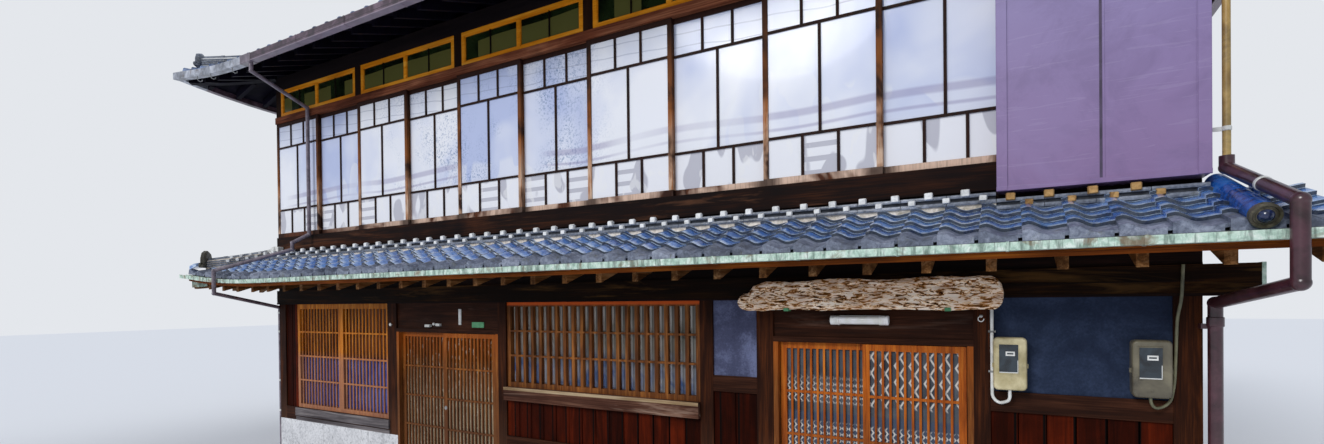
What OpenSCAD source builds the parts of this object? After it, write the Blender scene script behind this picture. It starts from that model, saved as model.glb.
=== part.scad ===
// Machiya townhouse of two storeys: a timber street front with lattice windows and sliding
// lattice doors, a glazed upper storey, a tiled pent roof over the street and a hipped main roof.
// Y runs into the house from the outer face of the street front, Z up from the ground.

/* [Street front, left to right] */
// Width of the left corner post
corner_post_w = 150; // [120:5:180]
// Width of the boarded strip beside the corner post
corner_panel_w = 265; // [200:5:320]
// Width of the left lattice window
left_window_w = 1978; // [1500:1:2200]
// Width of the post between the left window and the left door
window_post_w = 170; // [120:5:200]
// Width between the posts of the left door
left_door_w = 1689; // [1400:1:1900]
// Width of the post right of the left door
door_post_w = 117; // [100:1:150]
// Width between the posts of the middle lattice window
middle_window_w = 2325; // [1800:1:2600]
// Width of the post right of the middle window
jamb_post_w = 127; // [100:1:150]
// Width of the narrow plaster panel
narrow_panel_w = 407; // [300:1:500]
// Width of the post left of the entrance
entrance_post_w = 147; // [110:1:170]
// Width between the posts of the entrance
entrance_w = 1486; // [1300:1:1700]
// Width of the post right of the entrance
meter_post_w = 106; // [90:1:140]
// Width of the wide plaster panel under the meters
wide_panel_w = 1003; // [900:1:1200]
// Width of the right corner post
right_post_w = 140; // [110:5:180]

/* [House] */
// Depth of the house from wall face to wall face
depth = 7382; // [5500:1:9000]
// Thickness of posts and walls
wall_t = 110; // [100:5:140]
// How far boards and plaster lie behind the faces of the posts
panel_recess = 20; // [10:1:30]
// Hairline between pieces that lie on or beside each other
seat_gap = 0.1; // [0.05:0.05:0.3]
// Thickness of the mortar under the wall ridges where the eave rises
ridge_bed = 7; // [7:1:20]
// Thickness of the plaster and board panels
panel_t = 60; // [40:1:70]
// Height of the concrete base
base_h = 520; // [350:5:600]
// Thickness of the concrete base
base_t = 180; // [150:5:240]
// Top of the floor inside at street level
ground_floor_z = 40; // [30:1:45]
// Top of the boards of the upper floor
upper_floor_z = 2780; // [2740:5:2850]
// Thickness of the boards of the upper floor
floor_board_t = 36; // [24:1:45]
// Height of the beams that carry the upper floor
floor_beam_h = 180; // [140:5:200]
// Width of the beams that carry the upper floor
floor_beam_w = 120; // [100:5:150]

/* [Ground storey] */
// Height of the timber sills on the base
ground_sill_h = 180; // [120:5:200]
// Underside of the deep lintel beam
lintel_z = 2138; // [2050:1:2200]
// Height of the lintel beam
lintel_h = 192; // [150:1:260]
// How far the lintel beam stands out of the wall
lintel_proud = 30; // [20:1:60]
// How far the lintel beam runs past the right corner
lintel_end = 275; // [150:5:330]
// Thickness of the lattice window frames
window_frame_t = 70; // [60:1:90]
// Width of the wood round the left lattice window
lattice_rim = 52; // [40:1:70]
// Width of the wood round the middle lattice window
middle_rim = 50; // [35:1:65]
// Underside of the middle lattice window
middle_window_z = 1230; // [1150:5:1300]
// Height of the board under the middle window
sill_board_h = 140; // [100:5:180]
// How far the board under the middle window stands out
sill_board_proud = 45; // [20:1:60]
// Underside of the plaster panels
plaster_z = 1480; // [1300:5:1600]
// Height of the rail under the plaster panels
dado_rail_h = 140; // [80:5:160]
// Thickness of a window glass
glass_t = 5; // [4:1:8]

/* [Sliding doors] */
// Underside of the door heads
door_head_z = 1790; // [1750:1:1850]
// Height of the door heads
door_head_h = 45; // [40:1:70]
// Height of the timber thresholds
threshold_h = 55; // [50:1:80]
// Height of the rails that the doors roll on
track_h = 6; // [4:1:10]
// Width of the rails that the doors roll on
track_w = 8; // [6:1:12]
// Width of the jamb strips beside the doors
jamb_w = 40; // [30:1:60]
// Thickness of a door
leaf_t = 32; // [28:1:36]
// Space between the two doors of a pair
leaf_gap = 8; // [6:1:14]
// How far the outer door lies behind the faces of the posts
leaf_setback = 12; // [5:1:20]
// Clearance at the edges of a door
leaf_clear = 5; // [5:1:8]
// Width of the upright edges of a door
stile_w = 52; // [40:1:60]
// Height of the top rail of a door
top_rail_h = 50; // [40:1:70]
// Height of the bottom rail of a door
bottom_rail_h = 90; // [70:1:120]
// Height of the board at the foot of a door
foot_board_h = 250; // [150:5:300]
// Radius of a door's rollers
roller_r = 12; // [10:1:14]
// Running gap between a roller and its rail
running_gap = 0.3; // [0.2:0.1:0.5]

/* [Lattices] */
// Width of a bar of the fine lattices
bar_w = 17; // [12:1:24]
// Depth of a bar of the fine lattices
bar_d = 14; // [10:1:18]
// Height of the cross rails of the lattices
cross_rail_h = 20; // [14:1:30]
// Width of a bar of the middle window's lattice
heavy_bar_w = 36; // [28:1:48]
// Depth of a bar of the middle window's lattice
heavy_bar_d = 40; // [24:1:46]
// Bars in each half of the left window
window_bars = 12; // [8:1:14]
// Bars in each left door
left_door_bars = 12; // [8:1:14]
// Bars in each entrance door
entrance_bars = 11; // [7:1:13]
// Bars in the middle window
middle_bars = 20; // [16:1:24]

/* [Upper storey] */
// Number of bays between the corner posts
bays = 11; // [10:1:12]
// Underside of the upper sill
upper_sill_z = 2890; // [2880:1:2960]
// Top of the upper sill, where the windows stand
window_sill_z = 3085; // [3050:1:3150]
// How far the upper sill and head stand out of the wall
sill_proud = 18; // [10:1:40]
// Underside of the upper window head
window_head_z = 4705; // [4600:1:4800]
// Height of the upper window head
window_head_h = 90; // [70:1:120]
// Top of the upper wall, under the rafters
plate_z = 5360; // [5300:1:5450]
// Height of the plate beam on the upper wall
plate_h = 190; // [150:5:220]
// Thickness of the upper street wall
upper_wall_t = 200; // [180:5:240]
// Width of the upper posts
upper_post_w = 120; // [100:5:140]
// Thickness of an upper window sash
sash_t = 30; // [26:1:34]
// Width of the upright edges of a sash
sash_stile = 44; // [36:1:56]
// Height of the top rail of a sash
sash_top = 48; // [36:1:60]
// Height of the bottom rail of a sash
sash_bottom = 60; // [45:1:80]
// Width of the bars between the panes of a sash
muntin_w = 22; // [16:1:28]
// Height of the row of low panes
low_pane_h = 330; // [250:5:400]
// Height of the row of high panes
high_pane_h = 300; // [250:5:400]
// Width of the wood round a transom light
transom_rim = 46; // [35:1:60]
// Depth of the transom frames
transom_t = 40; // [30:1:60]

/* [Shutter box] */
// Width of the shutter box
shutter_box_w = 1092; // [950:1:1150]
// How far the shutter box stands out of the wall
shutter_box_d = 200; // [120:5:240]
// Underside of the shutter box
shutter_box_z = 2852; // [2845:1:2900]
// Width of the trims at the sides of the shutter box
shutter_trim_w = 60; // [40:1:90]
// How far the trims stand out
shutter_trim_t = 10; // [6:1:16]

/* [Roofs] */
// Rise of both roofs for each unit of run
slope = 0.36; // [0.3:0.01:0.45]
// Reach of the lower roof past the wall
lower_over = 780; // [700:5:950]
// Rafter underside of the lower roof at the wall
lower_rafter_z = 2543; // [2500:1:2620]
// Thickness of the lower eave boards, measured plumb
lower_deck_t = 26; // [18:1:35]
// Thickness of tiles and bed on the lower roof, measured plumb
lower_tile_t = 138; // [100:1:150]
// How far the lower roof runs past the right corner
verge_over = 395; // [350:5:450]
// Rise of the lower eave at the corner
lower_lift = 110; // [0:5:160]
// Reach of the main roof past the walls
upper_over = 800; // [700:5:950]
// Thickness of the boards of the main roof, measured plumb
upper_deck_t = 20; // [15:1:30]
// Thickness of tiles and bed on the main roof, measured plumb
upper_tile_t = 82; // [70:1:120]
// Rise of the upper eave at its corners
upper_lift = 140; // [0:5:180]
// Length of eave over which a corner rises
lift_len = 1700; // [1200:50:2400]
// Width of a rafter
rafter_w = 56; // [45:1:75]
// Height of a rafter
rafter_h = 100; // [80:1:120]
// Distance between rafters
rafter_pitch = 362.5; // [300:0.5:455]
// How far rafter ends lie behind the edge of the roof
rafter_setback = 100; // [60:5:150]
// Distance from the left wall to the first rafter inside it
first_rafter_x = 290; // [200:1:500]
// How far the rafters of the main roof run in over the walls
rafter_tail = 100; // [60:5:105]
// Width of a hip rafter
hip_rafter_w = 100; // [80:5:130]

/* [Gutters and pipes] */
// Width of the lower gutter
lower_gutter_w = 80; // [60:1:100]
// Height of the lower gutter
lower_gutter_h = 48; // [35:1:70]
// Underside of the lower gutter
lower_gutter_z = 2408; // [2390:1:2420]
// Width of the upper gutter
upper_gutter_w = 85; // [70:1:110]
// Height of the upper gutter
upper_gutter_h = 92; // [80:1:120]
// Underside of the upper gutter
upper_gutter_z = 5108; // [5080:1:5130]
// Thickness of the gutter metal
gutter_t = 4; // [3:1:6]
// Radius of the left downpipe
left_pipe_r = 24; // [18:1:32]
// Radius of the right downpipe
right_pipe_r = 36; // [25:1:42]
// Radius of the vent pipe over the right downpipe
vent_pipe_r = 20; // [12:1:26]
// Space between a downpipe and what it runs past
pipe_clear = 6; // [5:1:15]
// Height of the pipes' upper bends over the foot of the upper sill
pipe_bend = 70; // [40:5:120]
// Height of the pipes' outer bends over the foot of the lower gutter
pipe_over = 175; // [140:5:220]
// Drop of the left pipe's outer bend under the lower gutter
pipe_drop = 118; // [80:1:160]
// Drop of the pipes' last bends under the lintel
pipe_return = 45; // [30:1:80]

/* [Ridges] */
// Depth of the stacked tiles where the lower roof meets the wall
wall_ridge_d = 190; // [150:5:230]
// Top of the stacked tiles at the front of the wall ridge
wall_ridge_z = 2872; // [2860:1:2880]
// Top of the stacked tiles under the shutter box
box_ridge_z = 2825; // [2800:1:2835]
// Width of the lower hip ridge
lower_hip_w = 150; // [120:5:190]
// Height of the lower hip ridge
lower_hip_h = 135; // [90:5:160]
// Radius of the roll tile at the right end of the lower roof
roll_r = 64; // [50:1:80]
// Width of the main ridge
main_ridge_w = 220; // [180:5:280]
// Height of the main ridge
main_ridge_h = 300; // [220:5:380]
// Width of a hip ridge of the main roof
hip_ridge_w = 170; // [140:5:210]
// Height of a hip ridge of the main roof
hip_ridge_h = 170; // [120:5:220]

/* [Fittings] */
// Length of the sign board
sign_w = 1915; // [1600:5:2100]
// Height of the sign board
sign_h = 255; // [200:5:300]
// Thickness of the sign board
sign_t = 60; // [40:1:90]
// Underside of the sign board
sign_z = 2042; // [2000:1:2080]
// Length of the lamp over the entrance
lamp_w = 440; // [300:5:600]
// Height of the lamp over the entrance
lamp_h = 75; // [60:1:100]
// Width of a meter case
meter_w = 200; // [160:1:240]
// Height of a meter case
meter_h = 360; // [300:5:400]
// Depth of a meter case
meter_d = 130; // [100:1:160]

/* [Hidden] */
$fn = 32;

// Where each run of the street front begins, counted from the left corner
run_corner = 0;
run_corner_panel = 1;
run_left_window = 2;
run_window_post = 3;
run_left_door = 4;
run_door_post = 5;
run_middle_window = 6;
run_jamb_post = 7;
run_narrow_panel = 8;
run_entrance_post = 9;
run_entrance = 10;
run_meter_post = 11;
run_wide_panel = 12;
run_right_post = 13;
front_runs = [corner_post_w, corner_panel_w, left_window_w, window_post_w, left_door_w,
    door_post_w, middle_window_w, jamb_post_w, narrow_panel_w, entrance_post_w, entrance_w,
    meter_post_w, wide_panel_w, right_post_w];
post_runs = [run_corner, run_window_post, run_door_post, run_jamb_post, run_entrance_post,
    run_meter_post, run_right_post];

function sum_to(list, n) = n <= 0 ? 0 : list[n - 1] + sum_to(list, n - 1);
front_w = sum_to(front_runs, len(front_runs));
left_x = -front_w / 2;
right_x = front_w / 2;
function run_x(i) = left_x + sum_to(front_runs, i);

// The origin lies under the middle of the box round the whole house
front_reach = max(lower_over + lower_gutter_w, upper_over + upper_gutter_w);
back_reach = depth + upper_over + upper_gutter_w;
house_y = -(back_reach - front_reach) / 2;

roof_angle = atan(slope);
rafter_plumb = rafter_h / cos(roof_angle);
sill_top_z = base_h + ground_sill_h;
lintel_top_z = lintel_z + lintel_h;
leaf_clear_w = [left_door_w - 2 * jamb_w, entrance_w - 2 * jamb_w];
bay = (front_w - upper_post_w) / bays;
function bay_x(i) = left_x + upper_post_w / 2 + i * bay;
window_bays = bays - 1;
transom_z = window_head_z + window_head_h;
transom_top_z = plate_z - plate_h;

// Levels of the roofs' top faces at the wall line
lower_top_z = lower_rafter_z + rafter_plumb + lower_deck_t + lower_tile_t;
upper_top_z = plate_z + rafter_plumb + upper_deck_t + upper_tile_t;
main_run = depth / 2 + upper_over;

module in_house() {
    translate([0, house_y, 0]) children();
}

module slab(x0, x1, y0, y1, z0, z1) {
    translate([x0, y0, z0]) cube([x1 - x0, y1 - y0, z1 - z0]);
}

// Rise of an eave at a distance s from its corner
function eave_lift(s, lift) = lift * pow(max(0, 1 - s / lift_len), 2);

// Distances along an eave, close together where the corner rises
eave_steps = 4;
lift_steps = 8;
function zone_start(start) = [for (k = [0 : lift_steps]) start + (lift_len - start) * k / lift_steps];
function zone_end(length, start) =
    [for (k = [lift_steps : -1 : 0]) length - start - (lift_len - start) * k / lift_steps];

// A sheet with square-cut edges: rows of points for its top face, thickness measured plumb
module sheet_of(rows, thickness) {
    n = len(rows[0]);
    m = len(rows);
    top = [for (row = rows) for (p = row) p];
    low = [for (p = top) p - [0, 0, thickness]];
    count = n * m;
    quads_top = [for (j = [0 : m - 2]) for (i = [0 : n - 2])
        let (a = j * n + i) each [[a, a + n, a + 1], [a + 1, a + n, a + n + 1]]];
    quads_low = [for (f = quads_top) [f[2] + count, f[1] + count, f[0] + count]];
    rim = concat([for (i = [0 : n - 1]) i], [for (j = [1 : m - 1]) j * n + n - 1],
        [for (i = [n - 2 : -1 : 0]) (m - 1) * n + i], [for (j = [m - 2 : -1 : 1]) j * n]);
    walls = [for (k = [0 : len(rim) - 1])
        let (a = rim[k], b = rim[(k + 1) % len(rim)])
        each [[a, b, a + count], [b, b + count, a + count]]];
    polyhedron(points = concat(top, low), faces = concat(quads_top, quads_low, walls), convexity = 6);
}

// The part of a roof plane over its eave, from the eave at y = 0 up to the wall line
module eave_strip(length, over, lift, thickness, hip_start, hip_end) {
    rows = [for (y = [0 : over / eave_steps : over])
        let (a = hip_start ? y : 0, b = hip_end ? y : 0)
        [for (x = concat(zone_start(a), zone_end(length, b)))
            let (rise = (hip_start ? eave_lift(x, lift) : 0) + (hip_end ? eave_lift(length - x, lift) : 0))
            [x, y, slope * y + rise * (1 - y / over)]]];
    sheet_of(rows, thickness);
}

// The flat part of a hipped roof plane, from the wall line up to the ridge
module upper_field(length, from, to, thickness) {
    narrow = length - 2 * to;
    rows = narrow > 1
        ? [[[from, from, slope * from], [length - from, from, slope * from]],
           [[to, to, slope * to], [length - to, to, slope * to]]]
        : [];
    apex = [length / 2, length / 2, slope * length / 2];
    if (narrow > 1) {
        sheet_of(rows, thickness);
    } else {
        a = [from, from, slope * from];
        b = [length - from, from, slope * from];
        drop = [0, 0, -thickness];
        polyhedron(points = [a, b, apex, a + drop, b + drop, apex + drop],
            faces = [[0, 2, 1], [3, 4, 5], [0, 1, 4, 3], [1, 2, 5, 4], [2, 0, 3, 5]]);
    }
}

// A bar with plumb ends that follows points [x, y, z]; its sections are lists of [side, up],
// the last of them kept to the end of the bar
module swept_bar(path, sections) {
    n = len(path);
    m = len(sections[0]);
    function heading(i) = let (a = path[max(0, i - 1)], b = path[min(n - 1, i + 1)], d = b - a)
        [d[0], d[1], 0] / norm([d[0], d[1]]);
    rings = [for (i = [0 : n - 1])
        let (d = heading(i), side = [-d[1], d[0], 0])
        for (c = sections[min(i, len(sections) - 1)]) path[i] + side * c[0] + [0, 0, c[1]]];
    skin = [for (i = [0 : n - 2]) for (k = [0 : m - 1])
        let (a = m * i + k, b = m * i + (k + 1) % m)
        each [[a, a + m, b], [b, a + m, b + m]]];
    polyhedron(points = rings, faces = concat(skin, [[for (k = [0 : m - 1]) k]],
        [[for (k = [m - 1 : -1 : 0]) m * (n - 1) + k]]), convexity = 6);
}

module plumb_bar(path, w, h) {
    swept_bar(path, [[[-w / 2, 0], [w / 2, 0], [w / 2, h], [-w / 2, h]]]);
}

// Level of a hip bar's side edges under its middle, a little clear of the planes where they rise
function hip_foot(s, over, lift, w) = s > over
    ? -slope * w / 2 / sqrt(2)
    : 2 - (slope - eave_lift(s, lift) / over) * w / 2 / sqrt(2);

// A bar that sits astride a hip at the distances `steps` from the eave, its foot cut to the planes
// on both sides and raised at the head
module hip_bar(path, steps, over, lift, w, h, head_rise = 0) {
    swept_bar(path, [for (k = [0 : len(steps) - 1])
        let (up = k == 0 ? head_rise : 0, foot = hip_foot(steps[k], over, lift, w) + up)
        [[-w / 2, foot], [0, up], [w / 2, foot], [w / 2, h], [-w / 2, h]]]);
}

// Height of a hip over its tip, s being the distance from the eave in plan
function hip_point(s, over, lift) = slope * s + eave_lift(s, lift) * max(0, 1 - s / over);
function hip_height(s, over, lift) =
    let (q = over / eave_steps, k = min(eave_steps - 1, floor(s / q)),
        a = hip_point(k * q, over, lift), b = hip_point((k + 1) * q, over, lift))
    a + (b - a) * (s - k * q) / q;

module rod_between(a, b, r) {
    d = b - a;
    translate(a)
        rotate([0, acos(d[2] / norm(d)), atan2(d[1], d[0])])
            cylinder(h = norm(d), r = r);
}

// Puts a roof plane drawn with its eave on +X against each side of a rectangle
module on_front(over, z) {
    translate([left_x - over, -over, z]) children();
}
module on_back(over, z) {
    translate([right_x + over, depth + over, z]) rotate(180) children();
}
module on_left(over, z) {
    translate([left_x - over, depth + over, z]) rotate(-90) children();
}
module on_right(over, z) {
    translate([right_x + over, -over, z]) rotate(90) children();
}
front_eave_len = front_w + 2 * upper_over;
side_eave_len = depth + 2 * upper_over;

// Structure of the ground storey

module foundation() {
    color("lightgray") in_house() {
        slab(left_x, run_x(run_left_door), 0, base_t, 0, base_h);
        slab(run_x(run_door_post), run_x(run_entrance), 0, base_t, 0, base_h);
        slab(run_x(run_meter_post), right_x, 0, base_t, 0, base_h);
        slab(left_x, left_x + base_t, base_t, depth - base_t, 0, base_h);
        slab(right_x - base_t, right_x, base_t, depth - base_t, 0, base_h);
        slab(left_x, right_x, depth - base_t, depth, 0, base_h);
    }
}

module ground_floor() {
    color("silver") in_house()
        slab(left_x + base_t, right_x - base_t, base_t, depth - base_t, 0, ground_floor_z);
}

module upper_floor() {
    beam_top = upper_floor_z - floor_board_t;
    color("burlywood") in_house() {
        slab(left_x + wall_t, right_x - wall_t, wall_t, depth - wall_t, beam_top, upper_floor_z);
        for (i = [2 : 2 : bays - 1])
            slab(bay_x(i) - floor_beam_w / 2, bay_x(i) + floor_beam_w / 2, wall_t, depth - wall_t,
                beam_top - floor_beam_h, beam_top);
    }
}

module ground_posts() {
    color("#3a2418") in_house()
        for (i = post_runs)
            slab(run_x(i), run_x(i + 1), 0, wall_t, base_h, lintel_z);
}

module ground_sills() {
    color("#4a2e1e") in_house() {
        slab(run_x(run_corner_panel), run_x(run_window_post), 0, wall_t, base_h, sill_top_z);
        for (i = [run_middle_window, run_narrow_panel, run_wide_panel])
            slab(run_x(i), run_x(i + 1), 0, wall_t, base_h, sill_top_z);
    }
}

module lintel_beam() {
    color("#33211a") in_house()
        slab(left_x, right_x + lintel_end, -lintel_proud, wall_t, lintel_z, lintel_top_z);
}

module front_girt() {
    color("#2e1e18") in_house()
        slab(left_x, right_x, 0, wall_t, lintel_top_z, upper_sill_z);
}

module upper_sill() {
    color("#3b2318") in_house()
        slab(left_x, right_x, -sill_proud, upper_wall_t, upper_sill_z, window_sill_z);
}

// Posts behind the sliding windows come forward between the transom lights
module upper_posts() {
    track_y = 2 * sash_t + 20;
    color("#2e1c14") in_house()
        for (i = [for (k = [0 : 2 : bays - 1]) k, bays]) {
            x0 = bay_x(i) - upper_post_w / 2;
            slab(x0, x0 + upper_post_w, track_y, upper_wall_t, window_sill_z, transom_top_z);
            slab(x0, x0 + upper_post_w, 0, track_y, transom_z, transom_top_z);
        }
}

module upper_head() {
    color("#38221a") in_house()
        slab(left_x, right_x, -sill_proud, 2 * sash_t + 20, window_head_z, transom_z);
}

module wall_plate() {
    color("#2c1d18") in_house()
        slab(left_x, right_x, 0, upper_wall_t, transom_top_z, plate_z);
}

// Lattices and panels of the ground storey

// A frame with upright bars and cross rails, drawn from its lower left front corner
module lattice(w, h, t, rim_side, rim_top, rim_low, bars, w_bar, d_bar, rails) {
    inner = w - 2 * rim_side;
    gap = (inner - bars * w_bar) / (bars + 1);
    slab(0, rim_side, 0, t, 0, h);
    slab(w - rim_side, w, 0, t, 0, h);
    slab(rim_side, w - rim_side, 0, t, h - rim_top, h);
    slab(rim_side, w - rim_side, 0, t, 0, rim_low);
    for (k = [0 : bars - 1])
        translate([rim_side + gap + k * (w_bar + gap), 0, rim_low])
            cube([w_bar, d_bar, h - rim_top - rim_low]);
    for (z = rails)
        slab(rim_side, w - rim_side, 0, d_bar, z - cross_rail_h / 2, z + cross_rail_h / 2);
}

window_unit_h = lintel_z - sill_top_z;
window_rail_gap = (window_unit_h - 2 * lattice_rim) / 4;
window_y = panel_recess;

module left_window_lattice() {
    half = left_window_w / 2;
    color("#9a5a2a") in_house()
        for (k = [0, 1])
            translate([run_x(run_left_window) + k * half, window_y, sill_top_z])
                lattice(half, window_unit_h, window_frame_t, lattice_rim, lattice_rim + 15,
                    lattice_rim, window_bars, bar_w, bar_d,
                    [for (r = [1 : 3]) lattice_rim + r * window_rail_gap]);
}

module middle_window_lattice() {
    h = lintel_z - middle_window_z;
    color("#9a5a2a") in_house()
        translate([run_x(run_middle_window), window_y, middle_window_z])
            lattice(middle_window_w, h, window_frame_t, middle_rim, middle_rim, middle_rim,
                middle_bars, heavy_bar_w, heavy_bar_d, [h * 0.37, h * 0.66]);
}

module ground_window_glass() {
    half = left_window_w / 2;
    glass_y = window_y + window_frame_t - 2 * glass_t;
    color("lightblue", 0.5) in_house() {
        for (k = [0, 1])
            slab(run_x(run_left_window) + k * half + lattice_rim,
                run_x(run_left_window) + (k + 1) * half - lattice_rim, glass_y, glass_y + glass_t,
                sill_top_z + lattice_rim, lintel_z - lattice_rim - 15);
        slab(run_x(run_middle_window) + middle_rim, run_x(run_jamb_post) - middle_rim, glass_y,
            glass_y + glass_t, middle_window_z + middle_rim, lintel_z - middle_rim);
    }
}

module window_sill_board() {
    color("#b99a78") in_house()
        slab(run_x(run_middle_window), run_x(run_jamb_post), -sill_board_proud, wall_t,
            middle_window_z - sill_board_h, middle_window_z);
}

module wainscot_boards() {
    color("#6b3520") in_house() {
        slab(run_x(run_corner_panel), run_x(run_left_window), panel_recess, panel_recess + panel_t,
            sill_top_z, lintel_z);
        slab(run_x(run_middle_window), run_x(run_jamb_post), panel_recess, panel_recess + panel_t,
            sill_top_z, middle_window_z - sill_board_h);
        for (i = [run_narrow_panel, run_wide_panel]) {
            slab(run_x(i), run_x(i + 1), panel_recess, panel_recess + panel_t, sill_top_z,
                plaster_z - dado_rail_h);
            slab(run_x(i), run_x(i + 1), 0, wall_t, plaster_z - dado_rail_h, plaster_z);
        }
    }
}

module front_plaster() {
    color("#4a5568") in_house()
        for (i = [run_narrow_panel, run_wide_panel])
            slab(run_x(i), run_x(i + 1), panel_recess, panel_recess + panel_t, plaster_z, lintel_z);
}

// Sliding doors

door_runs = [run_left_door, run_entrance];
outer_leaf_y = leaf_setback;
inner_leaf_y = leaf_setback + leaf_t + leaf_gap;
rail_top_z = threshold_h + track_h;
leaf_z = rail_top_z + leaf_clear;
leaf_h = door_head_z - leaf_clear - leaf_z;
function leaf_w(door) = (leaf_clear_w[door] - 2 * leaf_clear + stile_w) / 2;

module door_heads() {
    color("#4a2c1c") in_house()
        for (i = door_runs) {
            slab(run_x(i), run_x(i + 1), 0, wall_t, door_head_z, door_head_z + door_head_h);
            slab(run_x(i), run_x(i + 1), panel_recess, panel_recess + panel_t,
                door_head_z + door_head_h, lintel_z);
        }
}

module door_thresholds() {
    color("#6a4a34") in_house()
        for (i = door_runs) {
            slab(run_x(i), run_x(i + 1), 0, base_t, 0, threshold_h);
            for (y = [outer_leaf_y, inner_leaf_y])
                slab(run_x(i) + jamb_w, run_x(i + 1) - jamb_w, y + (leaf_t - track_w) / 2,
                    y + (leaf_t + track_w) / 2, threshold_h, rail_top_z);
        }
}

module door_jambs() {
    color("#4f3020") in_house()
        for (i = door_runs) {
            slab(run_x(i), run_x(i) + jamb_w, 0, wall_t, threshold_h, door_head_z);
            slab(run_x(i + 1) - jamb_w, run_x(i + 1), 0, wall_t, threshold_h, door_head_z);
        }
}

// A sliding lattice door with a board at its foot and two rollers, from its lower left corner
module leaf(w, bars) {
    rail_gap = (leaf_h - top_rail_h - foot_board_h) / 4;
    lattice(w, leaf_h, leaf_t, stile_w, top_rail_h, bottom_rail_h, bars, bar_w, bar_d,
        [for (r = [1 : 3]) foot_board_h + r * rail_gap]);
    slab(stile_w, w - stile_w, 0, leaf_t, bottom_rail_h, foot_board_h);
    for (x = [stile_w * 1.5, w - stile_w * 1.5])
        translate([x, leaf_t / 2 - track_w / 2, roller_r - leaf_clear + running_gap])
            rotate([-90, 0, 0]) cylinder(h = track_w, r = roller_r);
}

module leaf_glass(w) {
    slab(stile_w, w - stile_w, leaf_t - 2 * glass_t, leaf_t - glass_t, foot_board_h,
        leaf_h - top_rail_h);
}

module at_left_leaf(door) {
    translate([run_x(door_runs[door]) + jamb_w + leaf_clear, inner_leaf_y, leaf_z]) children();
}

module at_right_leaf(door) {
    translate([run_x(door_runs[door] + 1) - jamb_w - leaf_clear - leaf_w(door), outer_leaf_y, leaf_z])
        children();
}

module left_door_left_leaf() {
    color("#8a5428") in_house() at_left_leaf(0) leaf(leaf_w(0), left_door_bars);
}
module left_door_right_leaf() {
    color("#8a5428") in_house() at_right_leaf(0) leaf(leaf_w(0), left_door_bars);
}
module entrance_left_leaf() {
    color("#a5622c") in_house() at_left_leaf(1) leaf(leaf_w(1), entrance_bars);
}
module entrance_right_leaf() {
    color("#a5622c") in_house() at_right_leaf(1) leaf(leaf_w(1), entrance_bars);
}
module left_door_left_glass() {
    color("lightblue", 0.5) in_house() at_left_leaf(0) leaf_glass(leaf_w(0));
}
module left_door_right_glass() {
    color("lightblue", 0.5) in_house() at_right_leaf(0) leaf_glass(leaf_w(0));
}
module entrance_left_glass() {
    color("lightblue", 0.5) in_house() at_left_leaf(1) leaf_glass(leaf_w(1));
}
module entrance_right_glass() {
    color("lightblue", 0.5) in_house() at_right_leaf(1) leaf_glass(leaf_w(1));
}

// Windows of the upper storey

sash_w = bay + sash_stile;
sash_h = window_head_z - window_sill_z;
function sash_y(i) = i % 2 == 0 ? 0 : sash_t + 10;
function sash_x(i) = i == 0 ? left_x : bay_x(i) - sash_stile / 2;
function sash_wide(i) = i == 0 ? bay_x(1) + sash_stile / 2 - left_x
    : i == window_bays - 1 ? sash_w + (bay_x(window_bays) - sash_x(i) - sash_w) + sash_stile / 2 : sash_w;
low_bar_z = sash_bottom + low_pane_h;
high_bar_z = sash_h - sash_top - high_pane_h;

// One sash: a row of three low panes, two tall panes and three high panes
module sash(w) {
    slab(0, sash_stile, 0, sash_t, 0, sash_h);
    slab(w - sash_stile, w, 0, sash_t, 0, sash_h);
    slab(sash_stile, w - sash_stile, 0, sash_t, 0, sash_bottom);
    slab(sash_stile, w - sash_stile, 0, sash_t, sash_h - sash_top, sash_h);
    for (z = [low_bar_z, high_bar_z])
        slab(sash_stile, w - sash_stile, 0, sash_t, z - muntin_w / 2, z + muntin_w / 2);
    third = (w - 2 * sash_stile) / 3;
    for (k = [1, 2], z = [[sash_bottom, low_bar_z], [high_bar_z, sash_h - sash_top]])
        slab(sash_stile + k * third - muntin_w / 2, sash_stile + k * third + muntin_w / 2, 0, sash_t,
            z[0], z[1]);
    slab(w / 2 - muntin_w / 2, w / 2 + muntin_w / 2, 0, sash_t, low_bar_z, high_bar_z);
}

module front_sashes() {
    color("#5a3a26") in_house()
        for (i = [0 : window_bays - 1])
            translate([sash_x(i), sash_y(i), window_sill_z]) sash(sash_wide(i));
}

// Transom lights between the posts, two to each frame
module transom_spans() {
    for (i = [0 : 2 : bays - 2])
        translate([bay_x(i) + upper_post_w / 2 + seat_gap, 0, transom_z])
            children();
}
transom_w = 2 * bay - upper_post_w - 2 * seat_gap;
transom_h = transom_top_z - transom_z;
light_w = (transom_w - 3 * transom_rim) / 2;

module transom_frames() {
    color("#c98a3c") in_house() transom_spans() difference() {
        cube([transom_w, transom_t, transom_h]);
        for (k = [0, 1])
            translate([transom_rim + k * (light_w + transom_rim), -1, transom_rim])
                cube([light_w, transom_t + 2, transom_h - 2 * transom_rim]);
    }
}

module upper_front_glass() {
    pane_y = (sash_t - glass_t) / 2;
    color("aliceblue", 0.5) in_house() {
        for (i = [0 : window_bays - 1])
            translate([sash_x(i) + sash_stile, sash_y(i) + pane_y, window_sill_z + sash_bottom])
                difference() {
                    cube([sash_wide(i) - 2 * sash_stile, glass_t, sash_h - sash_bottom - sash_top]);
                    glass_cuts(sash_wide(i));
                }
        transom_spans()
            for (x = [transom_rim, light_w + 2 * transom_rim])
                translate([x, (transom_t - glass_t) / 2, transom_rim])
                    cube([light_w, glass_t, transom_h - 2 * transom_rim]);
    }
}

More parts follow.
